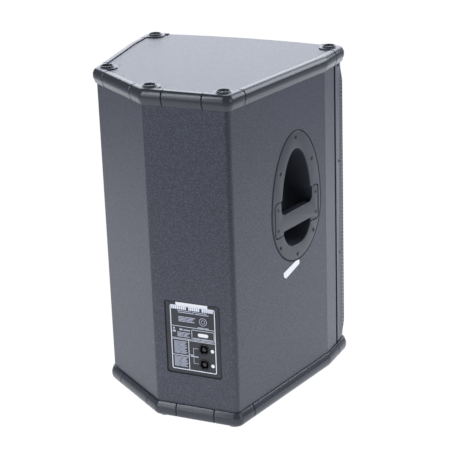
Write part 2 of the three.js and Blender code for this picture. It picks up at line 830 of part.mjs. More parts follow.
function makePortTube(x) {
  const outer = PORT.bore + PORT.wall;
  const profile = [
    [PORT.bore, -3], [PORT.flange, -3], [PORT.flange, -GAP], [outer, -GAP],
    [outer, PORT.length], [PORT.bore, PORT.length], [PORT.bore, -3],
  ];
  return turnedFrontal(profile, x, BAFFLE.front, HORN.z, 20);
}

// ---- grille and pole socket ----
// Points across the bowed front, from left to right, set back from the panels' edge.
function frontRow(halfWidth, setBack, steps = 10) {
  return Array.from({ length: steps + 1 }, (_, i) => {
    const x = -halfWidth + (2 * halfWidth * i) / steps;
    return [x, bowedFront(x) + setBack];
  });
}

function makeGrille() {
  const edge = FRONT_RIGHT[0] - GRILLE.inset;
  const inner = edge - GRILLE.sheet;
  const corner = bowedFront(edge) + GRILLE.setBack;
  const back = corner + GRILLE.flange;
  const lean = (FRONT_RIGHT[0] - RIGHT_BEND[0]) / (RIGHT_BEND[1] - FRONT_RIGHT[1]);
  const drift = lean * (back - corner);
  const round = 12;
  const bevel = 3.5;
  const outside = [
    [-edge + drift, back], [-edge, corner + round], [bevel - edge, corner + bevel],
    ...frontRow(edge - round, GRILLE.setBack),
    [edge - bevel, corner + bevel], [edge, corner + round], [edge - drift, back],
  ];
  const inside = [
    [inner - drift, back], [inner, corner + round], [inner - bevel, corner + bevel + GRILLE.sheet],
    ...frontRow(edge - round, GRILLE.setBack + GRILLE.sheet).reverse(),
    [bevel - inner, corner + bevel + GRILLE.sheet], [-inner, corner + round],
    [-inner + drift, back],
  ];
  return upright(shapeOf([...outside, ...inside]), INNER_FLOOR + 1, INNER_CEILING - 1);
}

function makeFoam() {
  const near = GRILLE.setBack + GRILLE.sheet + 1;
  const front = frontRow(FOAM.halfWidth, near);
  const back = frontRow(FOAM.halfWidth, near + FOAM.thickness).reverse();
  return upright(shapeOf([...front, ...back]), INNER_FLOOR + 6, INNER_CEILING - 6);
}

function makePoleSocket() {
  const outer = POLE.bore + POLE.wall;
  const under = BOTTOM_FACE - GAP;
  return turned([
    [0, BOTTOM_FACE + POLE.depth + POLE.wall], [outer, BOTTOM_FACE + POLE.depth + POLE.wall],
    [outer, under], [POLE.flange, under], [POLE.flange, under - 2.2], [POLE.bore, under - 2.2],
    [POLE.bore, BOTTOM_FACE + POLE.depth], [0, BOTTOM_FACE + POLE.depth],
  ], 0, 0, 20);
}

// ---- assembly ----
const LEFT_HANDLE = wall(WALL.left).length - HANDLE.fromBend;
const RIGHT_HANDLE = HANDLE.fromBend;

addPiece("top_panel", makeTopPanel(), PAINTED_PLY);
addPiece("bottom_panel", makeBottomPanel(), PAINTED_PLY);
addPiece("rear_panel", makeRearPanel(), PAINTED_PLY);
addPiece("rear_angle_panel", makeWall(WALL.angle), PAINTED_PLY);
addPiece(
  "left_side_panel",
  makeWall(WALL.left).subtract(handleHole(WALL.left, LEFT_HANDLE)),
  PAINTED_PLY,
);
addPiece(
  "right_side_panel",
  makeWall(WALL.right).subtract(handleHole(WALL.right, RIGHT_HANDLE)),
  PAINTED_PLY,
);
addPiece("left_cheek_panel", makeCheek(true), PAINTED_PLY);
addPiece("right_cheek_panel", makeCheek(false), PAINTED_PLY);
addPiece("front_baffle", makeBaffle(), PAINTED_PLY);
addPiece("cabinet_brace", makeBrace(), RAW_PLY);
addPiece("damping_lining", makeWadding(), WADDING);

for (const run of ["top", "bottom"]) {
  for (const [name, corner] of Object.entries(CORNERS)) {
    addPiece(`${run}_corner_${name}`, makeCorner(run, corner), MOULDING);
  }
  for (const [name, ends] of Object.entries(RAILS)) {
    addPiece(`${run}_rail_${name}`, makeStraight(run, ends), MOULDING);
  }
}
for (const [name, { k }] of Object.entries(CORNERS)) {
  addPiece(`foot_${name}`, makeFoot(k), RUBBER);
}

addPiece("left_handle_cup", makeHandleCup(WALL.left, LEFT_HANDLE), MOULDING);
addPiece("left_handle_grip", makeGrip(WALL.left, LEFT_HANDLE), MOULDING);
addPiece("right_handle_cup", makeHandleCup(WALL.right, RIGHT_HANDLE), MOULDING);
addPiece("right_handle_grip", makeGrip(WALL.right, RIGHT_HANDLE), MOULDING);

addPiece("terminal_plate", makePlate(), PLATE_PAINT);
addPiece("upper_speaker_socket", makeSocket(SOCKET.z[0]), BLACK_PLASTIC);
addPiece("lower_speaker_socket", makeSocket(SOCKET.z[1]), BLACK_PLASTIC);
addPiece("crossover_board", makeCrossoverBoard(), BOARD_GREEN);
addPiece("crossover_coil", makeCoil(), COPPER);
addPiece("crossover_capacitor", makeCapacitor(), BLACK_PLASTIC);

addPiece("woofer_basket", makeBasket(), BLACK_PLASTIC);
addPiece("woofer_magnet", makeMagnet(), FERRITE);
addPiece("woofer_cone", makeCone(), PAPER);
addPiece("woofer_voice_coil", makeVoiceCoil(), COPPER);
addPiece("woofer_dust_cap", makeDustCap(), PAPER);
addPiece("woofer_surround", makeSurround(), RUBBER);
addPiece("woofer_spider", makeSpider(), PAPER);

addPiece("horn", makeHorn(), BLACK_PLASTIC);
addPiece("driver_body", makeDriverBody(), BARE_STEEL);
addPiece("driver_cap", makeDriverCap(), FERRITE);
addPiece("driver_diaphragm", makeDiaphragm(), BARE_STEEL);
addPiece("left_port_tube", makePortTube(-PORT.x), BLACK_PLASTIC);
addPiece("right_port_tube", makePortTube(PORT.x), BLACK_PLASTIC);

addPiece("grille", makeGrille(), GRILLE_PAINT);
addPiece("grille_foam", makeFoam(), FOAM_CLOTH);
addPiece("pole_socket", makePoleSocket(), BLACK_PLASTIC);

export default cabinet;
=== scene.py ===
import math

import bmesh
import bpy
import numpy as np
from mathutils import Matrix, Vector
from mathutils.geometry import tessellate_polygon


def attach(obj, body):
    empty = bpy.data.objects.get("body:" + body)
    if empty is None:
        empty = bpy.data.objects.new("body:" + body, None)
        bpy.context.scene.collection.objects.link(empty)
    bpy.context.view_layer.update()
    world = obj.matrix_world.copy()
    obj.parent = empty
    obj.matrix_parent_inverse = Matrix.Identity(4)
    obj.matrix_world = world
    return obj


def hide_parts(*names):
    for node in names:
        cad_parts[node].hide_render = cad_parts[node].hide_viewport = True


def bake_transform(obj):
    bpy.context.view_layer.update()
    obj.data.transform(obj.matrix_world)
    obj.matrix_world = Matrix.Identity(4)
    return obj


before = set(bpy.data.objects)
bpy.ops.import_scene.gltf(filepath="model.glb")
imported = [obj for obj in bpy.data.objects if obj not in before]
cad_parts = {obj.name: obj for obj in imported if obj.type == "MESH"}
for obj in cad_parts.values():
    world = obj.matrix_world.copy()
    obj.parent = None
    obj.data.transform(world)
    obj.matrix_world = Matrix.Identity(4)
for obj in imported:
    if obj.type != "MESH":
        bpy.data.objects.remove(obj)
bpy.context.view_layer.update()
MM = 0.001
scene = bpy.context.scene


# ---- camera ----
CAMERA_AT = (-1.2843, 2.7625, 1.4689)
CAMERA_TURN = (24.318, 20.221, -2.050)
CAMERA_LENS, SENSOR_WIDTH = 123.05, 36


def add_camera():
    """Looks from the left rear; the turn is yaw, pitch and roll in degrees."""
    yaw, pitch, roll = (math.radians(a) for a in CAMERA_TURN)
    forward = Vector((math.cos(pitch) * math.sin(yaw), -math.cos(pitch) * math.cos(yaw), -math.sin(pitch)))
    right = Vector((-math.cos(yaw), -math.sin(yaw), 0))
    up = right.cross(forward)
    rolled_right = math.cos(roll) * right + math.sin(roll) * up
    rolled_up = math.cos(roll) * up - math.sin(roll) * right
    data = bpy.data.cameras.new("camera")
    data.lens = CAMERA_LENS
    data.sensor_width = SENSOR_WIDTH
    camera = bpy.data.objects.new("camera", data)
    scene.collection.objects.link(camera)
    axes = Matrix((rolled_right, rolled_up, -forward)).transposed()
    camera.matrix_world = Matrix.Translation(CAMERA_AT) @ axes.to_4x4()
    scene.camera = camera


add_camera()

# ---- dimensions, as in the CAD ----
GAP = 0.3
PLY = 15
TOP_FACE = 698.5
BOTTOM_FACE = 8
FOOT_HEIGHT = 5.2
CORNER_RADIUS, CORNER_STEP = 12, 7.5
FRONT_CENTRE_Y = -228
REAR_Y = 220.5
FRONT_STEPS = 10
FRONT_LEFT = (-224, -210.5)
FRONT_RIGHT = (224, -210.5)
RIGHT_BEND = (220.5, -112)
REAR_RIGHT = (193, 101.5)
REAR_MIDDLE = (30, REAR_Y)
REAR_LEFT = (-150, REAR_Y)
LEFT_BEND = (-220.5, -112)
INNER_FLOOR = BOTTOM_FACE + PLY
INNER_CEILING = TOP_FACE - PLY

RAIL_PROUD, RAIL_COVER, RAIL_HEIGHT, RAIL_LIP, SEAM = 7.5, 10, 31.5, 2.5, 1.4
CUP_INSET, CUP_EAR, CUP_BASE, CUP_RIM, CUP_BORE, CUP_PROUD = 21.5, 21.5, 17.3, 14, 11, 3.5
REBATE_START, REBATE_DEPTH, REBATE_GAP, GROOVE, GROOVE_DEPTH = 51, 3, 18, 10, 11
BAFFLE_FRONT, BAFFLE_THICK, BAFFLE_HALF = -190, 18, 206.5
WOOFER_Z, WOOFER_FRAME, WOOFER_CUTOUT, COIL = 235, 194, 177.5, 37.5
HORN_Z, HORN_W, HORN_H, MOUTH_X, MOUTH_Z, HORN_DEPTH, THROAT = 565, 240, 190, 103, 80, 110, 12.7
PORT_X, PORT_BORE, PORT_WALL, PORT_FLANGE, PORT_LENGTH = 164, 34, 2.5, 41, 85
HANDLE_Z, HANDLE_FROM_BEND, HANDLE_PROUD, HANDLE_DEPTH, HANDLE_WALL = 405, 111.6, 0.8, 80, 2.5
HANDLE_REBATE, HANDLE_CLEARANCE, HANDLE_POINTS = 5, 2, 120
FLANGE = {"half": 89.5, "up": 166, "down": 109}
OPENING = {"half": 54, "up": 131, "down": 77}
GRIP_HALF, GRIP_LOW, GRIP_HIGH, GRIP_OPEN, GRIP_FOOT, GRIP_SEAT = 79, 364, 436.5, 57, 50, 3
BAR_LOW, BAR_HIGH, BAR_DEPTH = 371, 406, 20
PLATE_X, PLATE_Z, PLATE_W, PLATE_H = -56, 186, 118, 156
PLATE_SHEET, PLATE_REBATE, PLATE_CLEARANCE = 4.4, 6, 2
SOCKET_X, SOCKET_ZS, SOCKET_PROUD = -78.8, (166.5, 133.5), -0.4
SOCKET_RING, SOCKET_GROOVE, SOCKET_POST, SOCKET_BODY = 11.4, 9.5, 4.5, 13
POLE_BORE, POLE_WALL, POLE_DEPTH, POLE_FLANGE = 18, 3, 80, 48


# ---- meshes ----
SHARP_EDGE = 32


def mesh_object(name, points, faces, sharp=SHARP_EDGE):
    """A closed piece from points in millimetres, shaded smooth except at edges over sharp degrees."""
    mesh = bpy.data.meshes.new(name)
    mesh.from_pydata([tuple(c * MM for c in p) for p in points], [], [tuple(f) for f in faces])
    return tidy_object(name, mesh, sharp)


def tidy_object(name, mesh, sharp=SHARP_EDGE):
    bm = bmesh.new()
    bm.from_mesh(mesh)
    bmesh.ops.remove_doubles(bm, verts=bm.verts, dist=2e-6)
    bmesh.ops.dissolve_degenerate(bm, edges=bm.edges, dist=1e-6)
    bmesh.ops.recalc_face_normals(bm, faces=bm.faces)
    bm.to_mesh(mesh)
    bm.free()
    mesh.name = name
    mesh.shade_smooth()
    mesh.set_sharp_from_angle(angle=math.radians(sharp))
    obj = bpy.data.objects.new(name, mesh)
    scene.collection.objects.link(obj)
    return obj


def discard(*objects):
    for obj in objects:
        mesh = obj.data
        bpy.data.objects.remove(obj)
        bpy.data.meshes.remove(mesh)


def combined(target, tool, operation, sharp=SHARP_EDGE):
    """target with tool added or taken away; both are used up."""
    change = target.modifiers.new("combine", "BOOLEAN")
    change.object = tool
    change.operation = operation
    change.solver = "MANIFOLD"
    name = target.name
    depsgraph = bpy.context.evaluated_depsgraph_get()
    mesh = bpy.data.meshes.new_from_object(target.evaluated_get(depsgraph))
    discard(target, tool)
    return tidy_object(name, mesh, sharp)


def without(target, tool, sharp=SHARP_EDGE):
    return combined(target, tool, "DIFFERENCE", sharp)


def with_added(target, tool):
    return combined(target, tool, "UNION")


def joined(name, objects):
    """Several separate shells kept as one object."""
    bm = bmesh.new()
    for obj in objects:
        bm.from_mesh(obj.data)
    mesh = bpy.data.meshes.new(name)
    bm.to_mesh(mesh)
    bm.free()
    discard(*objects)
    return tidy_object(name, mesh)


def band(count, low, high):
    """Faces between two rings of count points, which start at indices low and high."""
    return [(low + j, low + (j + 1) % count, high + (j + 1) % count, high + j) for j in range(count)]


def sweep(start, end, steps):
    """Angles in radians, from start to end degrees."""
    return [math.radians(start + (end - start) * i / steps) for i in range(steps + 1)]


# ---- flat outlines ----
def area(loop):
    p = np.asarray(loop, float)
    q = np.roll(p, -1, 0)
    return 0.5 * float(np.sum(p[:, 0] * q[:, 1] - q[:, 0] * p[:, 1]))


def anticlockwise(loop):
    return list(loop) if area(loop) > 0 else list(loop)[::-1]


def inset(loop, amount):
    """An anticlockwise loop moved inwards; negative moves it outwards."""
    p = np.asarray(loop, float)
    before = p - np.roll(p, 1, 0)
    after = np.roll(p, -1, 0) - p
    before /= np.linalg.norm(before, axis=1, keepdims=True)
    after /= np.linalg.norm(after, axis=1, keepdims=True)
    n1 = np.stack([-before[:, 1], before[:, 0]], 1)
    n2 = np.stack([-after[:, 1], after[:, 0]], 1)
    scale = np.maximum(1 + np.sum(n1 * n2, 1, keepdims=True), 0.35)
    return p + (n1 + n2) / scale * amount


def filleted(corners, step=12):
    """A polygon of (x, y, radius) corners with its corners rounded."""
    loop = []
    count = len(corners)
    for i, (x, y, radius) in enumerate(corners):
        here = np.array([x, y], float)
        back = np.array(corners[i - 1][:2], float) - here
        ahead = np.array(corners[(i + 1) % count][:2], float) - here
        back /= np.linalg.norm(back)
        ahead /= np.linalg.norm(ahead)
        if radius == 0:
            loop.append(tuple(here))
            continue
        half = math.acos(max(-1, min(1, float(back @ ahead)))) / 2
        reach = radius / math.tan(half)
        start, end = here + back * reach, here + ahead * reach
        centre = here + (back + ahead) / np.linalg.norm(back + ahead) * radius / math.sin(half)
        a0 = math.atan2(*(start - centre)[::-1])
        turn = (math.atan2(*(end - centre)[::-1]) - a0 + math.pi) % (2 * math.pi) - math.pi
        steps = max(1, round(math.degrees(abs(turn)) / step))
        for j in range(steps + 1):
            a = a0 + turn * j / steps
            loop.append((centre[0] + radius * math.cos(a), centre[1] + radius * math.sin(a)))
    return loop


def rectangle(x0, x1, y0, y1, radius, step=12):
    return filleted([(x0, y0, radius), (x1, y0, radius), (x1, y1, radius), (x0, y1, radius)], step)


def circle(cx, cy, radius, sides=48):
    turns = [2 * math.pi * i / sides for i in range(sides)]
    return [(cx + radius * math.cos(a), cy + radius * math.sin(a)) for a in turns]


def edge_levels(back, front, front_round=0.0, back_round=0.0, steps=3):
    """Levels of (depth, inset) for a plate whose front and back edges are rounded."""
    quarter = [math.pi / 2 * i / steps for i in range(steps + 1)]

    def rounded(radius):
        return [(radius * (1 - math.cos(a)), radius * (1 - math.sin(a))) for a in quarter]

    low = [(back + depth, amount) for depth, amount in rounded(back_round)]
    high = [(front - depth, amount) for depth, amount in rounded(front_round)[::-1]]
    return (low if back_round else [(back, 0)]) + (high if front_round else [(front, 0)])


def plate(name, outer, holes, levels, place, sharp=SHARP_EDGE):
    """A flat piece with holes; place turns (x, y, depth) into the frame."""
    loops = [anticlockwise(outer)] + [anticlockwise(h) for h in holes]
    points, faces, starts = [], [], []
    for depth, amount in levels:
        row = []
        for i, loop in enumerate(loops):
            moved = inset(loop, amount if i == 0 else -amount)
            row.append(len(points))
            points.extend(place(x, y, depth) for x, y in moved)
        starts.append(row)
    for low, high in zip(starts, starts[1:]):
        for i, loop in enumerate(loops):
            faces.extend(band(len(loop), low[i], high[i]))
    for row, (_, amount) in ((starts[0], levels[0]), (starts[-1], levels[-1])):
        flat = [[Vector((x, y, 0)) for x, y in inset(loop, amount if i == 0 else -amount)]
                for i, loop in enumerate(loops)]
        faces.extend(tuple(row[0] + v for v in triangle) for triangle in tessellate_polygon(flat))
    return mesh_object(name, points, faces, sharp)


def in_plan(x, y, z):
    return (x, y, z)


def frontal(x, z, y):
    return (x, y, z)


def turned(name, profile, place, sides=64):
    """A profile of (radius, height) turned; closed by itself or by its axis."""
    n = len(profile)
    on_axis = [profile[j][0] == 0 and profile[(j + 1) % n][0] == 0 for j in range(n)]
    points, faces = [], []
    for i in range(sides):
        a = 2 * math.pi * i / sides
        points.extend(place(r * math.cos(a), r * math.sin(a), h) for r, h in profile)
        sector = band(n, i * n, (i + 1) % sides * n)
        faces.extend(face for face, skipped in zip(sector, on_axis) if not skipped)
    return mesh_object(name, points, faces)


def about(cx, cy):
    return lambda a, b, h: (cx + a, cy + b, h)


def about_frontal(cx, y0, cz):
    return lambda a, b, h: (cx + a, y0 + h, cz + b)


def arc(cx, cy, rx, ry, start, end, steps):
    return [(cx + rx * math.cos(a), cy + ry * math.sin(a)) for a in sweep(start, end, steps)]


def lofted(name, rings):
    """A closed skin through rings of the same number of points, capped at both ends."""
    n = len(rings[0])
    points = [p for ring in rings for p in ring]
    last = (len(rings) - 1) * n
    faces = [face for start in range(0, last, n) for face in band(n, start, start + n)]
    faces.append(tuple(range(n)))
    faces.append(tuple(range(last, last + n)))
    return mesh_object(name, points, faces)


# ---- the outline in plan ----
def bowed_front(x):
    return FRONT_CENTRE_Y + (FRONT_LEFT[1] - FRONT_CENTRE_Y) * (x / FRONT_RIGHT[0]) ** 2


def outline_vertices():
    step = (FRONT_RIGHT[0] - FRONT_LEFT[0]) / FRONT_STEPS
    xs = [FRONT_LEFT[0] + step * (i + 1) for i in range(FRONT_STEPS - 1)]
    listed = [(FRONT_LEFT, CORNER_RADIUS)] + [((x, bowed_front(x)), 0) for x in xs]
    rest = (FRONT_RIGHT, RIGHT_BEND, REAR_RIGHT, REAR_MIDDLE, REAR_LEFT, LEFT_BEND)
    return listed + [(at, CORNER_RADIUS) for at in rest]


OUTLINE = outline_vertices()
FRONT_LEFT_EDGE, RIGHT_CHEEK = 0, FRONT_STEPS
RIGHT, ANGLE, REAR, LEFT, LEFT_CHEEK = (FRONT_STEPS + i for i in range(1, 6))


def vertex(k):
    return OUTLINE[k % len(OUTLINE)]


def wall(k):
    """The wall that starts at vertex k: its start, direction, outward normal and length."""
    a, b = (np.array(vertex(i)[0], float) for i in (k, k + 1))
    length = float(np.linalg.norm(b - a))
    along = (b - a) / length
    return a, along, np.array([along[1], -along[0]]), length


def on_wall(k, distance, offset=0.0):
    start, along, out, _ = wall(k)
    return start + along * distance + out * offset


def mitre(k, offset):
    before, after = wall(k - 1)[2], wall(k)[2]
    return np.array(vertex(k)[0], float) + (before + after) * offset / (1 + float(before @ after))


def corner_stations(k):
    """(point, outwards) round the corner at vertex k, at most CORNER_STEP degrees apart."""
    before, after = wall(k - 1)[2], wall(k)[2]
    at, radius = vertex(k)
    at = np.array(at, float)
    if radius == 0:
        return [(at, mitre(k, 1) - at)]
    turn = math.acos(max(-1, min(1, float(before @ after))))
    centre = mitre(k, -radius)
    first = math.atan2(before[1], before[0])
    steps = 2 * math.ceil(math.degrees(turn) / (2 * CORNER_STEP))
    made = []
    for i in range(steps + 1):
        a = first + turn * i / steps
        out = np.array([math.cos(a), math.sin(a)])
        made.append((centre + out * radius, out))
    return made


def stations(a, start, b, end, rounding):
    """(point, outwards) from start on wall a to end on wall b, with a second one just inside each end."""
    listed = [(on_wall(a, s), wall(a)[2]) for s in (start, start + rounding)]
    for k in range(a + 1, b + 1):
        listed.extend(corner_stations(k))
    return listed + [(on_wall(b, s), wall(b)[2]) for s in (end - rounding, end)]


def full_outline():
    return [tuple(at) for k in range(len(OUTLINE)) for at, _ in corner_stations(k)]


def swept(name, path, profile, end_inset):
    """A profile of (outwards, height) along stations, its two ends eased by end_inset."""
    profile = anticlockwise(profile)
    eased = inset(profile, end_inset)
    n = len(profile)
    points = []
    for i, (at, out) in enumerate(path):
        section = eased if i in (0, len(path) - 1) else profile
        points.extend((at[0] + out[0] * u, at[1] + out[1] * u, v) for u, v in section)
    last = (len(path) - 1) * n
    faces = [face for start in range(0, last, n) for face in band(n, start, start + n)]
    cap = tessellate_polygon([[Vector((u, v, 0)) for u, v in profile]])
    faces.extend(tuple(t) for t in cap)
    faces.extend(tuple(last + v for v in t) for t in cap)
    return mesh_object(name, points, faces)


def wall_frame(k):
    """(along, up, outwards) on a wall, as a place function."""
    start, along, out, _ = wall(k)

    def place(s, z, d):
        return (start[0] + along[0] * s + out[0] * d, start[1] + along[1] * s + out[1] * d, z)

    return place


def turned_on_wall(name, k, profile, s, z, sides):
    place = wall_frame(k)
    return turned(name, profile, lambda a, b, h: place(s + a, z + b, h), sides)


# ---- materials ----
class Surface:
    """A procedural material; its textures run in the frame's own coordinates."""

    def __init__(self, name, roughness, metallic=0.0, specular=0.5, coat=0.0):
        self.material = bpy.data.materials.new(name)
        self.material.use_nodes = True
        self.tree = self.material.node_tree
        self.shader = self.tree.nodes["Principled BSDF"]
        for socket, value in (
            ("Roughness", roughness),
            ("Metallic", metallic),
            ("Specular IOR Level", specular),
            ("Coat Weight", coat),
            ("Coat Roughness", 0.2),
        ):
            self.shader.inputs[socket].default_value = value
        self.where = self.add("ShaderNodeTexCoord").outputs["Object"]

    def add(self, kind, **settings):
        node = self.tree.nodes.new(kind)
        for key, value in settings.items():
            setattr(node, key, value)
        return node

    def link(self, source, target):
        self.tree.links.new(source, target)

    def stretched(self, factors, turn=0.0):
        """The coordinates scaled and turned about the vertical."""
        mapping = self.add("ShaderNodeMapping")
        self.link(self.where, mapping.inputs["Vector"])
        mapping.inputs["Scale"].default_value = factors
        mapping.inputs["Rotation"].default_value = (0, 0, turn)
        return mapping.outputs["Vector"]

    def noise(self, scale, detail=2.0, rough=0.5, where=None):
        node = self.add("ShaderNodeTexNoise")
        self.link(where or self.where, node.inputs["Vector"])
        node.inputs["Scale"].default_value = scale
        node.inputs["Detail"].default_value = detail
        node.inputs["Roughness"].default_value = rough
        return node.outputs["Fac"]

    def cells(self, scale, feature="F1"):
        node = self.add("ShaderNodeTexVoronoi", feature=feature)
        self.link(self.where, node.inputs["Vector"])
        node.inputs["Scale"].default_value = scale
        return node.outputs["Distance"]

    def ranged(self, source, low, high, to_low, to_high):
        node = self.add("ShaderNodeMapRange", interpolation_type="SMOOTHSTEP")
        self.link(source, node.inputs["Value"])
        for socket, value in zip(("From Min", "From Max", "To Min", "To Max"), (low, high, to_low, to_high)):
            node.inputs[socket].default_value = value
        return node.outputs["Result"]

    def patches(self, noise):
        """Noise spread out from 0 to 1."""
        return self.ranged(noise, 0.3, 0.7, 0, 1)

    def banded(self, axis, scale, distortion):
        node = self.add("ShaderNodeTexWave", wave_type="BANDS", bands_direction=axis)
        self.link(self.where, node.inputs["Vector"])
        node.inputs["Scale"].default_value = scale
        node.inputs["Distortion"].default_value = distortion
        return node.outputs["Fac"]

    def mixed(self, factor, first, second):
        node = self.add("ShaderNodeMix", data_type="RGBA")
        self.link(factor, node.inputs["Factor"])
        for socket, value in ((node.inputs[6], first), (node.inputs[7], second)):
            if isinstance(value, tuple):
                socket.default_value = (*value, 1)
            else:
                self.link(value, socket)
        return node.outputs[2]

    def coloured(self, colour):
        self.link(colour, self.shader.inputs["Base Color"])

    def roughened(self, source):
        self.link(source, self.shader.inputs["Roughness"])

    def bumped(self, height, distance):
        """Relief of distance metres."""
        node = self.add("ShaderNodeBump")
        node.inputs["Distance"].default_value = distance
        node.inputs["Strength"].default_value = 1.0
        self.link(height, node.inputs["Height"])
        self.link(node.outputs["Normal"], self.shader.inputs["Normal"])


def shade(colour, factor):
    return tuple(min(1.0, c * factor) for c in colour)


def grained(name, colour, roughness, grain, depth, mottle=0.06, speckle=0.1, **finish):
    """Paint or moulded plastic: soft mottling, fine speckle and a pebbled skin."""
    surface = Surface(name, roughness, **finish)
    broad = surface.noise(7, 3)
    fine = surface.noise(grain, 1)
    mottled = surface.patches(broad)
    base = surface.mixed(mottled, shade(colour, 1 - mottle), shade(colour, 1 + mottle))
    light = surface.mixed(mottled, shade(colour, 1 + speckle), shade(colour, 1 + speckle + mottle))
    surface.coloured(surface.mixed(surface.ranged(fine, 0.48, 0.66, 0, 1), base, light))
    wear = surface.noise(grain / 2, 2)
    surface.roughened(surface.ranged(wear, 0.3, 0.7, roughness - 0.02, roughness + 0.02))
    surface.bumped(fine, depth)
    return surface.material


def metal(name, colour, roughness):
    """Plated or blackened steel, faintly cloudy."""
    surface = Surface(name, roughness, metallic=1.0)
    streaks = surface.noise(90, 3)
    surface.coloured(surface.mixed(surface.patches(streaks), shade(colour, 0.86), shade(colour, 1.1)))
    surface.roughened(surface.ranged(streaks, 0.3, 0.7, roughness - 0.08, roughness + 0.08))
    surface.bumped(surface.noise(700, 1), 0.00003)
    return surface.material


def plywood(name):
    """Birch plywood: thin dark glue lines between layers, seen on edges, and a long grain."""
    surface = Surface(name, 0.65)
    grain = surface.noise(26, 4, 0.6, surface.stretched((1, 0.12, 1)))
    face = surface.mixed(surface.patches(grain), (0.56, 0.38, 0.20), (0.70, 0.52, 0.31))
    layers = surface.ranged(surface.banded("Z", 110, 0.6), 0.0, 0.16, 1, 0)
    surface.coloured(surface.mixed(layers, face, (0.30, 0.18, 0.09)))
    surface.bumped(grain, 0.0002)
    return surface.material


def fibrous(name, colour, scale, depth, roughness=0.95, sheen=0.0, cells=0):
    """Felt, paper, foam or wadding."""
    surface = Surface(name, roughness, specular=0.25)
    surface.shader.inputs["Sheen Weight"].default_value = sheen
    threads = surface.cells(cells) if cells else surface.noise(scale, 5, 0.7)
    wide = surface.noise(scale / 12, 2)
    surface.coloured(surface.mixed(surface.patches(wide), shade(colour, 0.8), shade(colour, 1.2)))
    surface.bumped(threads, depth)
    return surface.material


def wound(name, colour, scale):
    """Enamelled wire, turn beside turn, with painted shade darkening the grooves between turns."""
    surface = Surface(name, 0.3, metallic=0.9)
    turn_relief_and_shade = surface.banded("Y", scale, 0.3)
    # Painted shade: the colour darkens to 45 % in the grooves between turns; the same bands give the relief.
    surface.coloured(surface.mixed(turn_relief_and_shade, shade(colour, 0.45), colour))
    surface.bumped(turn_relief_and_shade, 0.0004)
    return surface.material


def printed_board(name):
    """Solder mask with lighter traces under it."""
    surface = Surface(name, 0.35, coat=0.4)
    tracks = surface.cells(55, "DISTANCE_TO_EDGE")
    traced = surface.ranged(tracks, 0.05, 0.08, 1, 0)
    surface.coloured(surface.mixed(traced, (0.015, 0.09, 0.035), (0.04, 0.2, 0.08)))
    surface.bumped(tracks, 0.00005)
    return surface.material


MATERIALS = {
    "paint": grained("textured_paint", (0.0342, 0.0372, 0.0515), 0.38, 520, 0.0003, 0.03, 1.3),
    "inside_paint": grained("inside_paint", (0.02, 0.02, 0.022), 0.7, 420, 0.0002),
    "moulding": grained("moulded_plastic", (0.046, 0.049, 0.061), 0.24, 1100, 0.00002, 0.04, 0.05,
                        specular=0.36),
    "handle": grained("handle_plastic", (0.043, 0.046, 0.059), 0.36, 1100, 0.00005, 0.04, 0.06),
    "plate": grained("plate_paint", (0.022, 0.0235, 0.030), 0.45, 900, 0.00005, 0.04, 0.06),
    "gloss_black": grained("gloss_black_plastic", (0.014, 0.014, 0.016), 0.18, 900, 0.00001, 0.05, 0.05),
    "black": grained("black_plastic", (0.018, 0.018, 0.02), 0.42, 900, 0.00004, 0.05, 0.08),
    "grille": grained("grille_powder_coat", (0.066, 0.071, 0.092), 0.35, 800, 0.00005, 0.03, 0.06),
    "rubber": grained("rubber", (0.012, 0.012, 0.013), 0.85, 600, 0.0001, 0.1, 0.1),
    "screw": metal("blackened_steel", (0.10, 0.10, 0.11), 0.34),
    "steel": metal("zinc_plate", (0.55, 0.56, 0.58), 0.35),
    "ferrite": grained("ferrite", (0.03, 0.03, 0.032), 0.6, 500, 0.00005, 0.1, 0.15),
    "basket": grained("basket_paint", (0.02, 0.02, 0.021), 0.4, 700, 0.00006),
    "foil": metal("diaphragm_foil", (0.75, 0.76, 0.78), 0.2),
    "copper": wound("copper_winding", (0.72, 0.33, 0.14), 260),
    "cone_paper": fibrous("cone_paper", (0.02, 0.02, 0.021), 900, 0.00012),
    "cloth": fibrous("treated_cloth", (0.014, 0.014, 0.015), 700, 0.0001, 0.7),
    "spider_cloth": fibrous("spider_cloth", (0.42, 0.28, 0.10), 1200, 0.00015, 0.9),
    "foam": fibrous("acoustic_foam", (0.006, 0.006, 0.007), 600, 0.0006, 1.0, cells=420),
    "wadding": fibrous("polyester_wadding", (0.62, 0.62, 0.6), 500, 0.001, 1.0, sheen=0.3),
    "plywood": plywood("birch_plywood"),
    "board": printed_board("circuit_board"),
    "ink": grained("white_print", (0.84, 0.88, 0.94), 0.5, 900, 0.00001, 0.03, 0.04),
    "grey_ink": grained("grey_print", (0.45, 0.48, 0.56), 0.5, 900, 0.00001, 0.06, 0.1),
    "sticker": grained("blank_sticker", (0.9, 0.9, 0.9), 0.45, 700, 0.00001, 0.02, 0.02),
}


def dress(obj, look, body, slot, *nodes):
    """Gives a piece its material and the body it moves with, and hides the CAD nodes it stands for; slot is
    not used.
    """
    obj.data.materials.clear()
    obj.data.materials.append(MATERIALS[look])
    if look == "paint":
        obj.modifiers.new("even_shading", "WEIGHTED_NORMAL").keep_sharp = True
    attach(obj, body)
    if nodes:
        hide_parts(*nodes)
    return obj


def redress(node, look):
    """A CAD node whose shape is kept, with a better material."""
    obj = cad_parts[node]
    for material_slot in obj.material_slots:
        material_slot.material = MATERIALS[look]


BODY = "cabinet"

# ---- plywood box ----
PLATE_S = REAR_MIDDLE[0] - PLATE_X
LEFT_HANDLE = wall(LEFT)[3] - HANDLE_FROM_BEND
RIGHT_HANDLE = HANDLE_FROM_BEND
BOARD_LEVELS = [(INNER_FLOOR + GAP, 0), (INNER_CEILING - GAP, 0)]


def make_top():
    levels = [(INNER_CEILING, 0)] + edge_levels(INNER_CEILING + 1, TOP_FACE, 2.2, steps=4)
    return plate("top_board", full_outline(), [], levels, in_plan)


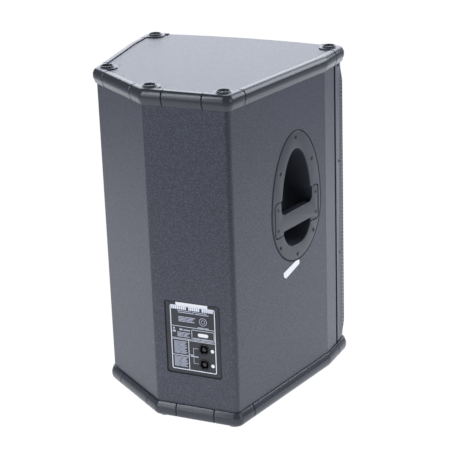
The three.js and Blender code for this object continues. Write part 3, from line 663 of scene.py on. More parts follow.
def make_bottom():
    hole = circle(0, 0, POLE_BORE + POLE_WALL + 1)
    levels = edge_levels(BOTTOM_FACE, INNER_FLOOR, 0, 1.5)
    return plate("bottom_board", full_outline(), [hole], levels, in_plan)


def wall_board(name, k):
    first, second = corner_stations(k), corner_stations(k + 1)
    half_first, half_second = (len(first) - 1) // 2, (len(second) - 1) // 2
    start = [np.array(s[0]) for s in first[half_first:]]
    end = [np.array(s[0]) for s in second[: half_second + 1]]
    along = wall(k)[1]
    start[0] = start[0] + along * GAP / 2
    end[-1] = end[-1] - along * GAP / 2
    back = [mitre(k + 1, -PLY) - along * GAP / 2, mitre(k, -PLY) + along * GAP / 2]
    return plate(name, start + end + back, [], BOARD_LEVELS, in_plan)


def plate_outline(grow, radius):
    w, h = PLATE_W / 2 + grow, PLATE_H / 2 + grow
    return rectangle(PLATE_S - w, PLATE_S + w, PLATE_Z - h, PLATE_Z + h, radius)


def wall_cutter(k, loop, depth):
    """A tool that cuts a pocket of that depth, or a hole, into the outside of wall k."""
    return plate("cutter", loop, [], [(-depth, 0), (1, 0)], wall_frame(k))


def make_rear():
    rebate = wall_cutter(REAR, plate_outline(PLATE_CLEARANCE, 6), PLATE_REBATE)
    through = wall_cutter(REAR, plate_outline(-9, 4), PLY + 1)
    return without(without(wall_board("rear_board", REAR), rebate), through)


def opening_outline(s, grow):
    """The mouth of a handle cup: an egg, a little wider beside the grip."""
    loop = []
    for i in range(HANDLE_POINTS):
        a = 2 * math.pi * i / HANDLE_POINTS
        c, v = math.cos(a), math.sin(a)
        reach, power = (OPENING["down"], 2.5) if v < 0 else (OPENING["up"], 2)
        egg = (abs(c / OPENING["half"]) ** power + abs(v / reach) ** power) ** (-1 / power)
        to_side = GRIP_OPEN / max(abs(c), 1e-6)
        limit = (GRIP_HIGH - HANDLE_Z) if v > 0 else (HANDLE_Z - GRIP_LOW - 2)
        beside = min(to_side, limit / max(abs(v), 1e-6))
        radius = max(egg, beside)
        loop.append((s + radius * c, HANDLE_Z + radius * v))
    softened = np.array(loop)
    for _ in range(2):
        softened = 0.5 * softened + 0.25 * (np.roll(softened, 1, 0) + np.roll(softened, -1, 0))
    return [tuple(p) for p in inset(softened, -grow)]


def flange_outline(s):
    loop = []
    for i in range(HANDLE_POINTS):
        a = 2 * math.pi * i / HANDLE_POINTS
        reach = FLANGE["down"] if math.sin(a) < 0 else FLANGE["up"]
        loop.append((s + FLANGE["half"] * math.cos(a), HANDLE_Z + reach * math.sin(a)))
    return loop


def make_side(name, k, s):
    hole = wall_cutter(k, opening_outline(s, HANDLE_WALL + 1.5), PLY + 1)
    rebate = wall_cutter(k, inset(flange_outline(s), -HANDLE_CLEARANCE), HANDLE_REBATE)
    return without(without(wall_board(name, k), rebate), hole)


def make_cheek(name, left):
    k = LEFT_CHEEK if left else RIGHT_CHEEK
    length = wall(k)[3]
    bend = k if left else k + 1

    def far(distance):
        return distance if left else length - distance

    listed = corner_stations(bend)
    middle = (len(listed) - 1) // 2
    outer = [np.array(s[0]) for s in (listed[middle:] if left else listed[middle::-1])]
    nudge = wall(k)[1] * (GAP / 2 if left else -GAP / 2)
    outer[0] = outer[0] + nudge
    front = length - REBATE_GAP
    loop = outer + [
        on_wall(k, far(REBATE_START)),
        on_wall(k, far(REBATE_START), -GROOVE_DEPTH),
        on_wall(k, far(REBATE_START + GROOVE), -GROOVE_DEPTH),
        on_wall(k, far(REBATE_START + GROOVE), -REBATE_DEPTH),
        on_wall(k, far(front), -REBATE_DEPTH),
        on_wall(k, far(front), -PLY),
        mitre(bend, -PLY) + nudge,
    ]
    return plate(name, loop, [], BOARD_LEVELS, in_plan)


def make_groove_shade(name, left):
    """The black strip in the bottom of the groove behind the grille's edge: painted shade that makes the
    groove read dark.
    """
    k = LEFT_CHEEK if left else RIGHT_CHEEK
    ends = [REBATE_START + 0.3, REBATE_START + GROOVE - 0.3]
    a, b = ends if left else [wall(k)[3] - s for s in ends[::-1]]
    strip = rectangle(a, b, INNER_FLOOR + 1, INNER_CEILING - 1, 0.5)
    levels = edge_levels(-GROOVE_DEPTH + GAP, -GROOVE_DEPTH + 6.5, 1.2)
    return plate(name, strip, [], levels, wall_frame(k))


def make_baffle():
    outer = rectangle(-BAFFLE_HALF, BAFFLE_HALF, INNER_FLOOR + GAP, INNER_CEILING - GAP, 1)
    half_x, half_z = MOUTH_X + 8, MOUTH_Z + 8
    horn_hole = rectangle(-half_x, half_x, HORN_Z - half_z, HORN_Z + half_z, 10)
    holes = [circle(0, WOOFER_Z, WOOFER_CUTOUT, 96), horn_hole]
    holes += [circle(x, HORN_Z, PORT_BORE + PORT_WALL + 1.2) for x in (-PORT_X, PORT_X)]
    levels = edge_levels(BAFFLE_FRONT, BAFFLE_FRONT + BAFFLE_THICK, 0.8, 0.8, 2)
    return plate("baffle_board", outer, holes, levels, frontal)


for board, node in (
    (make_top(), "top_panel"),
    (make_bottom(), "bottom_panel"),
    (make_rear(), "rear_panel"),
    (wall_board("rear_angle_board", ANGLE), "rear_angle_panel"),
    (make_side("left_side_board", LEFT, LEFT_HANDLE), "left_side_panel"),
    (make_side("right_side_board", RIGHT, RIGHT_HANDLE), "right_side_panel"),
    (make_cheek("left_cheek_board", True), "left_cheek_panel"),
    (make_cheek("right_cheek_board", False), "right_cheek_panel"),
):
    dress(board, "paint", BODY, "textured_paint", node)
# The black strips in the grooves behind the grille's edges are painted shade.
for side, left in (("left", True), ("right", False)):
    dress(make_groove_shade(f"{side}_groove_shade", left), "rubber", BODY, "rubber")
dress(make_baffle(), "inside_paint", BODY, "baffle_paint", "front_baffle")
redress("cabinet_brace", "plywood")


# ---- edge protection ----
def rail_profile():
    """[outwards, depth below the outer face]: lip, rounded nose, then a face that leans back in."""
    nose = [(-2 + (RAIL_PROUD + 2) * math.sin(a), 14.5 * (1 - math.cos(a))) for a in sweep(0, 90, 10)]
    return [
        (-RAIL_COVER + 1.8, RAIL_LIP - GAP),
        (-RAIL_COVER + 1.8, 1.2),
        (-RAIL_COVER, 1.1),
        (-RAIL_COVER, 0.7),
        (-RAIL_COVER + 0.4, 0.25),
        (-RAIL_COVER + 1.1, 0),
        *nose,
        (RAIL_PROUD - 0.1, 20),
        (RAIL_PROUD - 0.7, 21.2),
        (3.6, 30.2),
        (2.7, 31.2),
        (1.6, RAIL_HEIGHT),
        (GAP, RAIL_HEIGHT),
        (GAP, RAIL_LIP - GAP),
    ]


def level(run, depth):
    return TOP_FACE + RAIL_LIP - depth if run == "top" else BOTTOM_FACE - RAIL_LIP + depth


def make_rail(name, run, a, start, b, end):
    profile = [(u, level(run, depth)) for u, depth in rail_profile()]
    return swept(name, stations(a, start, b, end, 0.9), profile, 0.6)


def make_ear(name, run, k):
    """The round end of a corner piece over the panel; at the top it holds a stacking cup."""
    x, y = mitre(k, -CUP_INSET)
    place = about(x, y)
    under = level(run, RAIL_LIP - GAP)
    out = 1 if run == "top" else -1
    face = level(run, 0)
    edge = [(CUP_EAR - 0.8 + 0.8 * math.sin(a), face - out * 0.8 * (1 - math.cos(a)))
            for a in sweep(0, 90, 4)]
    if run == "bottom":
        return turned(name, [(0, face), *edge, (CUP_EAR, under), (0, under)], place)
    top = face + CUP_PROUD
    rim = arc(CUP_RIM - 0.7, top - 0.7, 0.7, 0.7, 0, 90, 3)
    lip = arc(CUP_BORE + 1.3, top - 0.6, 0.6, 0.6, 90, 180, 3)
    profile = [
        (0, level(run, 1)), (CUP_BORE - 1.2, level(run, 1)), (CUP_BORE, level(run, 0)),
        (CUP_BORE + 0.7, top - 0.6), *lip[::-1], *rim[::-1],
        (CUP_RIM, face + 1.7), (CUP_RIM + 0.5, face + 1.1), (CUP_BASE - 0.9, face + 0.9),
        (CUP_BASE, face + 0.2), (CUP_BASE + 0.3, face), *edge, (CUP_EAR, under), (0, under),
    ]
    return turned(name, profile, place)


# Each corner's vertex, and how far its piece reaches along the walls before and after it.
CORNERS = {
    "rear_left": (LEFT, 51, 48.5),
    "rear_middle": (REAR, 39, 42.5),
    "rear_right": (ANGLE, 42, 41.8),
    "front_left": (FRONT_LEFT_EDGE + len(OUTLINE), 47, 44.5),
    "front_right": (RIGHT_CHEEK, 44.5, 47),
}
RAILS = {
    "rear": ("rear_middle", "rear_left"),
    "angle": ("rear_right", "rear_middle"),
    "left": ("rear_left", "front_left"),
    "right": ("front_right", "rear_right"),
}


def make_corner(run, name):
    k, before, after = CORNERS[name]
    title = f"{run}_protector_{name}"
    run_piece = make_rail(title, run, k - 1, wall(k - 1)[3] - before, k, after)
    ear = make_ear("ear", run, k)
    x, y = mitre(k, -CUP_INSET)
    if run == "top":
        bore = [(0, level(run, 1)), (CUP_BORE - 1.2, level(run, 1)), (CUP_BORE, level(run, 0)),
                (CUP_BORE, level(run, -8)), (0, level(run, -8))]
        run_piece = without(run_piece, turned("cutter", bore, about(x, y)))
    return with_added(run_piece, ear)


def make_straight(run, name):
    (first, _, after), (second, before, _) = (CORNERS[c] for c in RAILS[name])
    last = second - 1
    end = wall(last)[3] - before - SEAM
    return make_rail(f"{run}_edge_{name}", run, first, after + SEAM, last, end)


def make_foot(name, k):
    x, y = mitre(k, -CUP_INSET)
    tread = [(0, 0.8), (9.5, 0.8), (10.2, 0), (13.6, 0), (14.5, 0.5), (15.9, 4.1), (16.5, 4.4)]
    profile = [*tread, (16.5, FOOT_HEIGHT), (0, FOOT_HEIGHT)]
    return turned(name, profile, about(x, y), 48)


for run in ("top", "bottom"):
    for corner in CORNERS:
        piece = make_corner(run, corner)
        dress(piece, "moulding", BODY, "moulded_plastic", f"{run}_corner_{corner}")
    for rail in RAILS:
        piece = make_straight(run, rail)
        dress(piece, "moulding", BODY, "moulded_plastic", f"{run}_rail_{rail}")
for corner, (k, _, _) in CORNERS.items():
    dress(make_foot(f"foot_pad_{corner}", k), "rubber", BODY, "rubber", f"foot_{corner}")

# ---- screws ----
SCREW_SIDES, SCREW_SHARP, SCREW_SEAT = 28, 28, -0.4


def cross(length, width):
    a, b = length / 2, width / 2
    quarter = ((-a, -b), (-b, -b), (-b, -a))
    return [*quarter, (b, -a), (b, -b), (a, -b), (a, b), (b, b), (b, a), (-b, a), (-b, b), (-a, b)]


def screw_template(radius, height):
    """A cross-head screw, its seat just under depth 0."""
    dome = [(radius * math.cos(a), height * 0.35 + height * 0.62 * math.sin(a)) for a in sweep(75, 0, 5)]
    profile = [(0, height), (radius * 0.2, height), *dome, (radius, SCREW_SEAT), (0, SCREW_SEAT)]
    levels = [(height - radius * 0.55, radius * 0.05), (height + 1, 0)]
    drive = plate("cutter", cross(radius * 1.15, radius * 0.3), [], levels, in_plan)
    return without(turned("screw", profile, in_plan, SCREW_SIDES), drive, SCREW_SHARP)


def stamped(name, template, spots):
    """Copies of a template at (place, x, y, depth, turn), as one piece; the template is used up."""
    shape = [v.co / MM for v in template.data.vertices]
    sides = [tuple(p.vertices) for p in template.data.polygons]
    points, faces = [], []
    for place, x, y, depth, turn in spots:
        c, s = math.cos(turn), math.sin(turn)
        base = len(points)
        points.extend(place(x + v.x * c - v.y * s, y + v.x * s + v.y * c, depth + v.z) for v in shape)
        faces.extend(tuple(base + i for i in side) for side in sides)
    discard(template)
    return mesh_object(name, points, faces, SCREW_SHARP)


def dress_screws(name, radius, height, spots):
    """One piece of screws at (place, x, y, depth); each stops at its own angle."""
    spun = [(*spot, 0.7 * i * i % 1.5) for i, spot in enumerate(spots)]
    dress(stamped(name, screw_template(radius, height), spun), "screw", BODY, "painted_steel")


cup_spots = [(in_plan, *mitre(k, -CUP_INSET), level("top", 1)) for k, _, _ in CORNERS.values()]
dress_screws("stacking_cup_screws", 6.2, 2.2, cup_spots)


# ---- handles ----
def narrowed(loop, amount, turn):
    """The cup's outline inset and drawn in towards its middle, from turn 0 at the wall to 1 on the floor."""
    x, y = np.mean(loop, axis=0)
    size = 1 - 0.24 * turn
    return [(x + (a - x) * size, y + (b - y) * size) for a, b in inset(loop, amount + 9 * min(turn, 1))]


CUP_ROUND = 26
FLANGE_SINK, GRIP_SINK = 2, 1.2
FLANGE_SCREWS = ((-2, 559), (57, 498.6), (-59, 497), (59, 340.8), (-63.5, 339.5), (-2, 307.4))
GRIP_SCREWS = ((-70, 378.5), (-70, 422.5), (70, 378.5), (70, 422.5))


def make_handle_cup(name, k, s):
    """One skin: flange, rolled mouth, drafted bowl with a rounded floor, and its outside."""
    place = wall_frame(k)
    face = HANDLE_PROUD
    back = GAP - HANDLE_REBATE
    floor = -HANDLE_DEPTH + HANDLE_WALL
    flange = anticlockwise(flange_outline(s))
    mouth = anticlockwise(opening_outline(s, 0))
    rings = [(flange, 0, back), (flange, 0, face - 1.6)]
    rings += [(flange, 1.6 * (1 - math.cos(a)), face - 1.6 * (1 - math.sin(a)))
              for a in sweep(22.5, 90, 3)]
    rings += [(mouth, -2.2 * (1 - math.sin(a)), face - 2.2 * (1 - math.cos(a)))
              for a in sweep(0, 90, 6)]
    rings += [(mouth, 0.8, -6), (mouth, 2.0, -24), (mouth, 3.4, -44)]
    rings += [(narrowed(mouth, 3.4, 1 - math.cos(a)), 0, floor + CUP_ROUND * (1 - math.sin(a)))
              for a in sweep(10, 90, 8)]
    middle = narrowed(mouth, 3.4, 2)
    inner_floor = len(rings)
    rings += [(middle, 0, floor - 0.2), (middle, 0, -HANDLE_DEPTH)]
    rings += [(narrowed(mouth, 1, 1 - math.cos(a)), 0, CUP_ROUND * (1 - math.sin(a)) - HANDLE_DEPTH)
              for a in sweep(90, 10, 8)]
    rings += [(mouth, 0.5, -44), (mouth, -0.5, -24), (mouth, -1.7, -8), (mouth, -HANDLE_WALL, back)]
    points, faces = [], []
    n = len(mouth)
    for r, (loop, amount, depth) in enumerate(rings):
        points.extend(place(x, y, depth) for x, y in inset(loop, amount))
        if r == inner_floor:
            faces += [tuple(range(r * n, (r + 1) * n)), tuple(range((r + 1) * n, (r + 2) * n))]
        else:
            faces += band(n, r * n, (r + 1) % len(rings) * n)
    cup = mesh_object(name, points, faces)
    seat = plate("cutter", grip_outline(s, 1.6), [], [(face - GRIP_SEAT, 0), (face + 1, 0)], place)
    return countersunk(without(cup, seat), k, s, FLANGE_SCREWS, FLANGE_SINK, (3.7, 4.5, 0.6))


def countersunk(piece, k, s, spots, depth, size):
    """Round recesses for screws; size is the radius at the bottom, at the top, and the taper's height."""
    low, high, taper = size
    bottom, top = HANDLE_PROUD - depth, HANDLE_PROUD + 1
    profile = [(0, bottom), (low, bottom), (high, bottom + taper), (high, top), (0, top)]
    for x, z in spots:
        piece = without(piece, turned_on_wall("cutter", k, profile, s + x, z, 24))
    return piece


def make_handle_gap_shade(name, k, s):
    """Black rubber strips in the joints round the flange and round the grip's two ends: painted shade
    standing in for the shadow in these gaps.
    """
    place = wall_frame(k)
    flange = anticlockwise(flange_outline(s))
    inside = [inset(flange, -0.1)]
    below, above = [(0.1 - HANDLE_REBATE, 0), (-0.02, 0)], [(0.02, 0), (0.4, 0.3)]
    strips = [plate("gap_shade_strip", inset(flange, -1.9), inside, below, place),
              plate("gap_shade_strip", inset(flange, -3.1), inside, above, place)]
    for wide, low, high in ((1.4, 0.1 - GRIP_SEAT, -0.02), (2.6, 0.02, 0.3)):
        boxes = [(GRIP_HALF + 0.1, GRIP_HALF + 0.1 + wide, GRIP_LOW + 5, GRIP_HIGH - 5)]
        boxes += [(GRIP_OPEN + 5, GRIP_HALF - 5, z0, z0 + wide)
                  for z0 in (GRIP_LOW - 0.1 - wide, GRIP_HIGH + 0.1)]
        for x0, x1, z0, z1 in boxes:
            for a, b in ((s + x0, s + x1), (s - x1, s - x0)):
                levels = [(HANDLE_PROUD + low, 0), (HANDLE_PROUD + high, 0)]
                strips.append(plate("gap_shade_strip", rectangle(a, b, z0, z1, 0.3), [], levels, place))
    return joined(name, strips)


def grip_outline(s, grow):
    return rectangle(s - GRIP_HALF - grow, s + GRIP_HALF + grow, GRIP_LOW - grow, GRIP_HIGH + grow, 6)


def make_grip(name, k, s):
    place = wall_frame(k)
    face = HANDLE_PROUD
    frame_loop = filleted([
        (s - GRIP_HALF, GRIP_LOW, 6), (s - GRIP_FOOT, GRIP_LOW, 1.5), (s - GRIP_FOOT, BAR_LOW, 2.5),
        (s + GRIP_FOOT, BAR_LOW, 2.5), (s + GRIP_FOOT, GRIP_LOW, 1.5), (s + GRIP_HALF, GRIP_LOW, 6),
        (s + GRIP_HALF, GRIP_HIGH, 6), (s + GRIP_OPEN, GRIP_HIGH, 2), (s + GRIP_OPEN, BAR_HIGH, 14),
        (s - GRIP_OPEN, BAR_HIGH, 14), (s - GRIP_OPEN, GRIP_HIGH, 2), (s - GRIP_HALF, GRIP_HIGH, 6),
    ], 9)
    tabs = plate(name, frame_loop, [], edge_levels(face - GRIP_SEAT + GAP, face, 0.9, steps=4), place)
    half = GRIP_OPEN - 0.6
    outline = rectangle(s - half, s + half, BAR_LOW + 0.02, BAR_HIGH - 0.02, 8)
    bar = plate("bar", outline, [], edge_levels(-BAR_DEPTH, face - 0.6, 0, 7, steps=6), place)
    return countersunk(with_added(tabs, bar), k, s, GRIP_SCREWS, GRIP_SINK, (3.5, 4.1, 0.4))


for side, k, s in (("left", LEFT, LEFT_HANDLE), ("right", RIGHT, RIGHT_HANDLE)):
    place = wall_frame(k)
    shell = make_handle_cup(f"{side}_handle_shell", k, s)
    dress(shell, "handle", BODY, "handle_plastic", f"{side}_handle_cup")
    grip = make_grip(f"{side}_finger_grip", k, s)
    dress(grip, "handle", BODY, "handle_plastic", f"{side}_handle_grip")
    # The black strips round the flange and the grip are painted shade for the gaps.
    dress(make_handle_gap_shade(f"{side}_handle_gap_shade", k, s), "rubber", BODY, "rubber")
    spots = [(place, s + x, z, HANDLE_PROUD - FLANGE_SINK) for x, z in FLANGE_SCREWS]
    dress_screws(f"{side}_handle_flange_screws", 3.3, 1.5, spots)
    spots = [(place, s + x, z, HANDLE_PROUD - GRIP_SINK) for x, z in GRIP_SCREWS]
    dress_screws(f"{side}_grip_screws", 3.1, 1.1, spots)


# ---- terminal plate ----
REAR_PLACE = wall_frame(REAR)
PLATE_FACE = -PLATE_REBATE + GAP + PLATE_SHEET
INK_DEPTH = 0.14


def make_plate():
    holes = [circle(REAR_MIDDLE[0] - SOCKET_X, z, SOCKET_RING + 0.6) for z in SOCKET_ZS]
    levels = edge_levels(PLATE_FACE - PLATE_SHEET, PLATE_FACE, 0.5)
    return plate("terminal_panel", plate_outline(0, 5), holes, levels, REAR_PLACE)


# A black ring in the clearance round the terminal plate: painted shade for the shadow in that gap.
def make_plate_gap_shade():
    ring = plate_outline(0, 5)
    levels = [(0.1 - PLATE_REBATE, 0), (PLATE_FACE + 0.7, 0)]
    return plate("terminal_panel_gap_shade", inset(ring, -1.9), [inset(ring, -0.1)], levels, REAR_PLACE)


def ink_shape(loop, holes=(), thickness=INK_DEPTH):
    """One plain mark on the plate; marks are placed by the frame's x and z."""
    levels = [(PLATE_FACE - 0.05, 0), (PLATE_FACE + thickness, 0)]
    return plate("ink", loop, list(holes), levels, REAR_PLACE)


def ink_box(x0, x1, z0, z1, radius=0.25, thickness=INK_DEPTH):
    a, b = sorted((REAR_MIDDLE[0] - x0, REAR_MIDDLE[0] - x1))
    return ink_shape(rectangle(a, b, z0, z1, radius, 30), (), thickness)


def ink_boxes(*boxes):
    return [ink_box(*box) for box in boxes]


def ink_frame(x0, x1, z0, z1, radius, line):
    a, b = sorted((REAR_MIDDLE[0] - x0, REAR_MIDDLE[0] - x1))
    outer = rectangle(a, b, z0, z1, radius)
    inner = rectangle(a + line, b - line, z0 + line, z1 - line, max(radius - line, 0.3))
    return ink_shape(outer, [inner])


def ink_ring(x, z, outer, inner):
    s = REAR_MIDDLE[0] - x
    return ink_shape(circle(s, z, outer, 32), [circle(s, z, inner, 32)] if inner else ())


def ink_rows(x0, x1, z0, z1, rows, ragged):
    """Greeked copy: plain rows of differing length, no letters."""
    pitch = (z1 - z0) / rows
    made = []
    for i in range(rows):
        short = ragged * ((i * 7) % 5) / 5
        z = z1 - pitch * (i + 0.75)
        cut = x0 + (x1 - x0) * (0.35 + 0.25 * ((i * 3) % 4) / 4)
        top = z + pitch * 0.55
        made += ink_boxes((x0, cut + 0.5, z, top), (cut - 0.5, x1 + short, z, top))
    return made


def make_print():
    """Frames, rules and a title row of plain blocks with two gaps."""
    lines = [ink_frame(-7, -105.5, 116, 257, 3.5, 1.7), ink_frame(-53, -102.7, 184.6, 207.4, 2.5, 0.8)]
    lines += ink_boxes(
        (-7.5, -105, 211.05, 211.95), (-7.5, -52, 184.6, 185.4), (-7.5, -105, 182.0, 182.9),
        (-44.8, -46.0, 116.5, 182.5), (-8, -45.4, 147.0, 148.1),
    )
    starts = [-10 - 4.2 * i for i in range(22) if i not in (8, 15)]
    return joined("label_lines", lines + ink_boxes(*((x, x - 3.3, 248.4, 255.2, 0.8) for x in starts)))


def make_fine_print():
    """Plain bars in place of copy, two rings, and the lines that lead to the sockets."""
    upper, lower = SOCKET_ZS
    rows = ink_boxes(
        (-23, -54, 245, 246.6), (-56, -88, 245, 246.6), (-25, -60, 241.4, 243.2), (-62, -92, 241.4, 243.2),
        (-67, -80, 212.8, 214.8), (-82, -91, 212.8, 214.8), (-12, -16, 204, 208), (-11, -18, 197.5, 202),
        (-26, -33, 202.5, 206.5), (-35, -50, 202.8, 205.4), (-47.5, -56, 150.3, 152.3),
        (-49, -66, 147.2, 149.6), (-56, -67, upper - 0.45, upper + 0.45),
        (-56, -67, lower - 0.45, lower + 0.45), (-55.2, -56.2, 152.5, upper + 0.45),
        (-55.2, -56.2, lower - 0.45, 146.5),
    )
    rows += [ink_ring(-79, 227, 8.6, 7.4), ink_ring(-79, 227, 4.4, 3.4)]
    for block in (
        (-25, -62, 221.5, 234, 4, 8), (-21, -50, 188, 199.5, 4, 9), (-56, -100, 185.8, 191, 1, 4),
        (-13, -42, 151, 179, 12, 6), (-12, -43, 122, 145, 9, 6),
    ):
        rows += ink_rows(*block)
    return joined("label_fine_lines", rows)


def make_marks():
    marks = [ink_ring(-97.5, z, 3.9, 0) for z in (165.5, 133)]
    oval = rectangle(REAR_MIDDLE[0] + 66.5, REAR_MIDDLE[0] + 89.5, 193.5, 201.3, 3.8)
    return joined("label_marks", marks + [ink_shape(oval)])


dress(make_plate(), "plate", BODY, "plate_paint", "terminal_plate")
dress(make_plate_gap_shade(), "rubber", BODY, "rubber")
dress(make_print(), "ink", BODY, "plate_paint")
dress(make_fine_print(), "grey_ink", BODY, "plate_paint")
dress(make_marks(), "sticker", BODY, "plate_paint")
sticker = ink_box(-20, -90, 257.4, 263.9, 0.4, 0.3)
sticker.name = "label_blank_strip"
dress(sticker, "sticker", BODY, "plate_paint")
spots = [(REAR_PLACE, REAR_MIDDLE[0] - x, z, PLATE_FACE) for x in (-1.7, -111) for z in (260, 188, 115.5)]
dress_screws("terminal_plate_screws", 3.0, 1.3, spots)


def make_socket(name, z):
    """A round locking loudspeaker socket: collar, deep groove with keyways, and a centre post."""
    behind = -PLATE_REBATE - GAP
    face, post, bottom = SOCKET_PROUD, SOCKET_PROUD - 1.4, -18
    profile = [
        (0, -26), (SOCKET_BODY - 1, -26), (SOCKET_BODY, -25), (SOCKET_BODY, behind), (SOCKET_RING, behind),
        *arc(SOCKET_RING - 0.7, face - 0.7, 0.7, 0.7, 0, 90, 4),
        *arc(SOCKET_GROOVE + 0.5, face - 0.5, 0.5, 0.5, 90, 180, 3),
        (SOCKET_GROOVE, face - 1.6), (SOCKET_GROOVE - 0.5, face - 2), (SOCKET_GROOVE - 0.5, bottom + 0.5),
        (SOCKET_GROOVE - 1, bottom), (SOCKET_POST + 0.4, bottom), (SOCKET_POST, bottom + 0.6),
        *arc(SOCKET_POST - 0.8, post - 0.8, 0.8, 0.8, 0, 90, 3), (0, post),
    ]
    s = REAR_MIDDLE[0] - SOCKET_X
    socket = turned_on_wall(name, REAR, profile, s, z, 64)
    keyway = [(0, -11), (1.1, -11), (1.1, 2), (0, 2)]
    for a in (math.radians(turn) for turn in (35, 125, 250)):
        x, y = s + (SOCKET_GROOVE + 0.1) * math.cos(a), z + (SOCKET_GROOVE + 0.1) * math.sin(a)
        socket = without(socket, turned_on_wall("cutter", REAR, keyway, x, y, 16))
    return socket


for name, z in zip(("upper", "lower"), SOCKET_ZS):
    socket = make_socket(f"{name}_locking_socket", z)
    dress(socket, "gloss_black", BODY, "black_plastic", f"{name}_speaker_socket")
redress("crossover_board", "board")


# ---- blank sticker under the left handle ----
def make_side_strip():
    corners = ((223, 294), (234, 292), (234, 283), (183, 267), (175, 273), (175, 281.5))
    loop = filleted([(*corner, 1.5) for corner in corners])
    return plate("blank_strip", loop, [], [(0.02, 0), (0.35, 0)], wall_frame(LEFT))


dress(make_side_strip(), "sticker", BODY, "plate_paint")


# ---- woofer, as (radius, depth behind the baffle's front face) ----
FRAME_SCREW_RADIUS, FRAME_FACE = 186.5, BAFFLE_FRONT - 8


def woofer(name, profile, sides=96):
    return turned(name, profile, about_frontal(0, BAFFLE_FRONT, WOOFER_Z), sides)


def make_basket():
    basket = woofer("woofer_frame", [
        (WOOFER_FRAME - 1, -8), (WOOFER_FRAME, -7), (WOOFER_FRAME, -GAP), (176, -GAP), (173, 8),
        (172, 12), (98, 86), (96, 90), (96, 100), (52, 100), (52, 95), (89, 88), (92, 85.5),
        (164.5, 8), (166, 5), (168, -4), (178, -4), (178.8, -4.6), (179.4, -7.4), (180.2, -8),
    ])
    window = rectangle(-60, 60, 100, 200, 12)
    for a in sweep(45, 315, 3):
        c, s = math.cos(a), math.sin(a)

        def place(x, z, y, c=c, s=s):
            return (x * c + z * s, BAFFLE_FRONT + y, WOOFER_Z - x * s + z * c)

        basket = without(basket, plate("cutter", window, [], [(20, 0), (72, 0)], place))
    return basket


def make_magnet():
    pole, gap = COIL - 1.7, COIL + 2.3
    return woofer("woofer_motor", [
        (0, 94), (pole - 1, 94), (pole, 95), (pole, 126), (gap + 6, 126), (gap + 6, 108), (gap, 108),
        (gap, 100 + GAP), (77, 100 + GAP), (78, 101.3), (78, 108.5), (91, 108.5), (92, 109.5),
        (92, 130), (91, 131), (78, 131), (78, 138), (77, 139), (18, 139), (16, 136), (0, 136),
    ])


def cone_face(r):
    """The depth of the cone's front at radius r."""
    return 4 + (152 - r) * 0.566


def make_cone():
    inner, outer, ribs = COIL + 1.4, 150, 60
    front = []
    for i in range(ribs + 1):
        r = inner + (outer - inner) * i / ribs
        swell = 0.45 * max(0.0, math.sin(math.pi * (r - 66) / 7)) if 66 < r < 136 else 0
        front.append((r, cone_face(r) - swell))
    back = [(r, h + (1.7 if r < 60 else 1.5)) for r, h in front][::-1]
    return woofer("woofer_cone_body", front + back)


def make_dust_cap():
    rim = 60
    front = cone_face(rim) - 1.6
    outside = [(rim * i / 16, front - 18 * (1 - (i / 16) ** 2)) for i in range(17)]
    return woofer("woofer_dome", outside + [(r, h + 1.2) for r, h in outside[::-1]], 72)


def make_surround():
    middle = 159.5
    roll = arc(middle, -3.5, 8.4, -8.4, 180, 0, 12)
    under = arc(middle, -3.5, 7.3, -7.3, 25, 180, 10)
    return woofer("woofer_roll_surround", [
        (150.5, 4.5), (150.5, 3.2), *roll, (168, -5.4), (177, -5.4), (177, -4 - GAP),
        (167.2, -4 - GAP), *under, (152.4, 4.5),
    ])


def make_spider():
    inner, outer, waves, steps = COIL + 1.3, 88.4, 6, 72
    front = [(inner + (outer - inner) * i / steps,
              86 - 1.6 * math.cos(2 * math.pi * waves * i / steps)) for i in range(steps + 1)]
    return woofer("woofer_spider_disc", front + [(r, h + 0.9) for r, h in front[::-1]], 72)


def make_voice_coil():
    inner, outer = COIL - 0.7, COIL + 0.9
    turns = [(outer - 0.15 + 0.15 * (i % 2), 96 + 0.5 * i) for i in range(36)]
    former = [(inner, 62), (inner + 0.5, 62), (inner + 0.6, 95.5)]
    return woofer("woofer_coil_former", [*former, *turns, (outer - 0.2, 114), (inner, 114)], 72)


def bend_radially(obj, still, moving):
    """Bakes a ring's placement into its mesh; the points at the radius still and at the radius moving are
    worked out but not used.
    """
    start, end = ((radius * MM, BAFFLE_FRONT * MM, WOOFER_Z * MM) for radius in (still, moving))
    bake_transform(obj)
    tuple(start)
    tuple(end)


CONE = "cone_assembly"
dress(make_basket(), "basket", BODY, "painted_steel", "woofer_basket")
dress(make_magnet(), "ferrite", BODY, "ferrite", "woofer_magnet")
dress(make_cone(), "cone_paper", CONE, "paper", "woofer_cone")
dress(make_dust_cap(), "cone_paper", CONE, "paper", "woofer_dust_cap")
dress(make_voice_coil(), "copper", CONE, "copper", "woofer_voice_coil")
for made, look, node, still, moving in (
    (make_surround(), "cloth", "woofer_surround", 168.0, 151.5),
    (make_spider(), "spider_cloth", "woofer_spider", 87.0, 40.5),
):
    made.data.materials.append(MATERIALS[look])
    bend_radially(made, still, moving)
    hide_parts(node)


def on_frame(x, z, depth):
    """Depth counts forwards from the face of the woofer's frame."""
    return (x, FRAME_FACE - depth, z)


frame_spots = [(on_frame, x, z, 0)
               for x, z in arc(0, WOOFER_Z, FRAME_SCREW_RADIUS, FRAME_SCREW_RADIUS, 22.5, 337.5, 7)]
dress_screws("woofer_frame_screws", 3.4, 2.0, frame_spots)


# ---- horn and compression driver ----
HORN_SIDES = 72


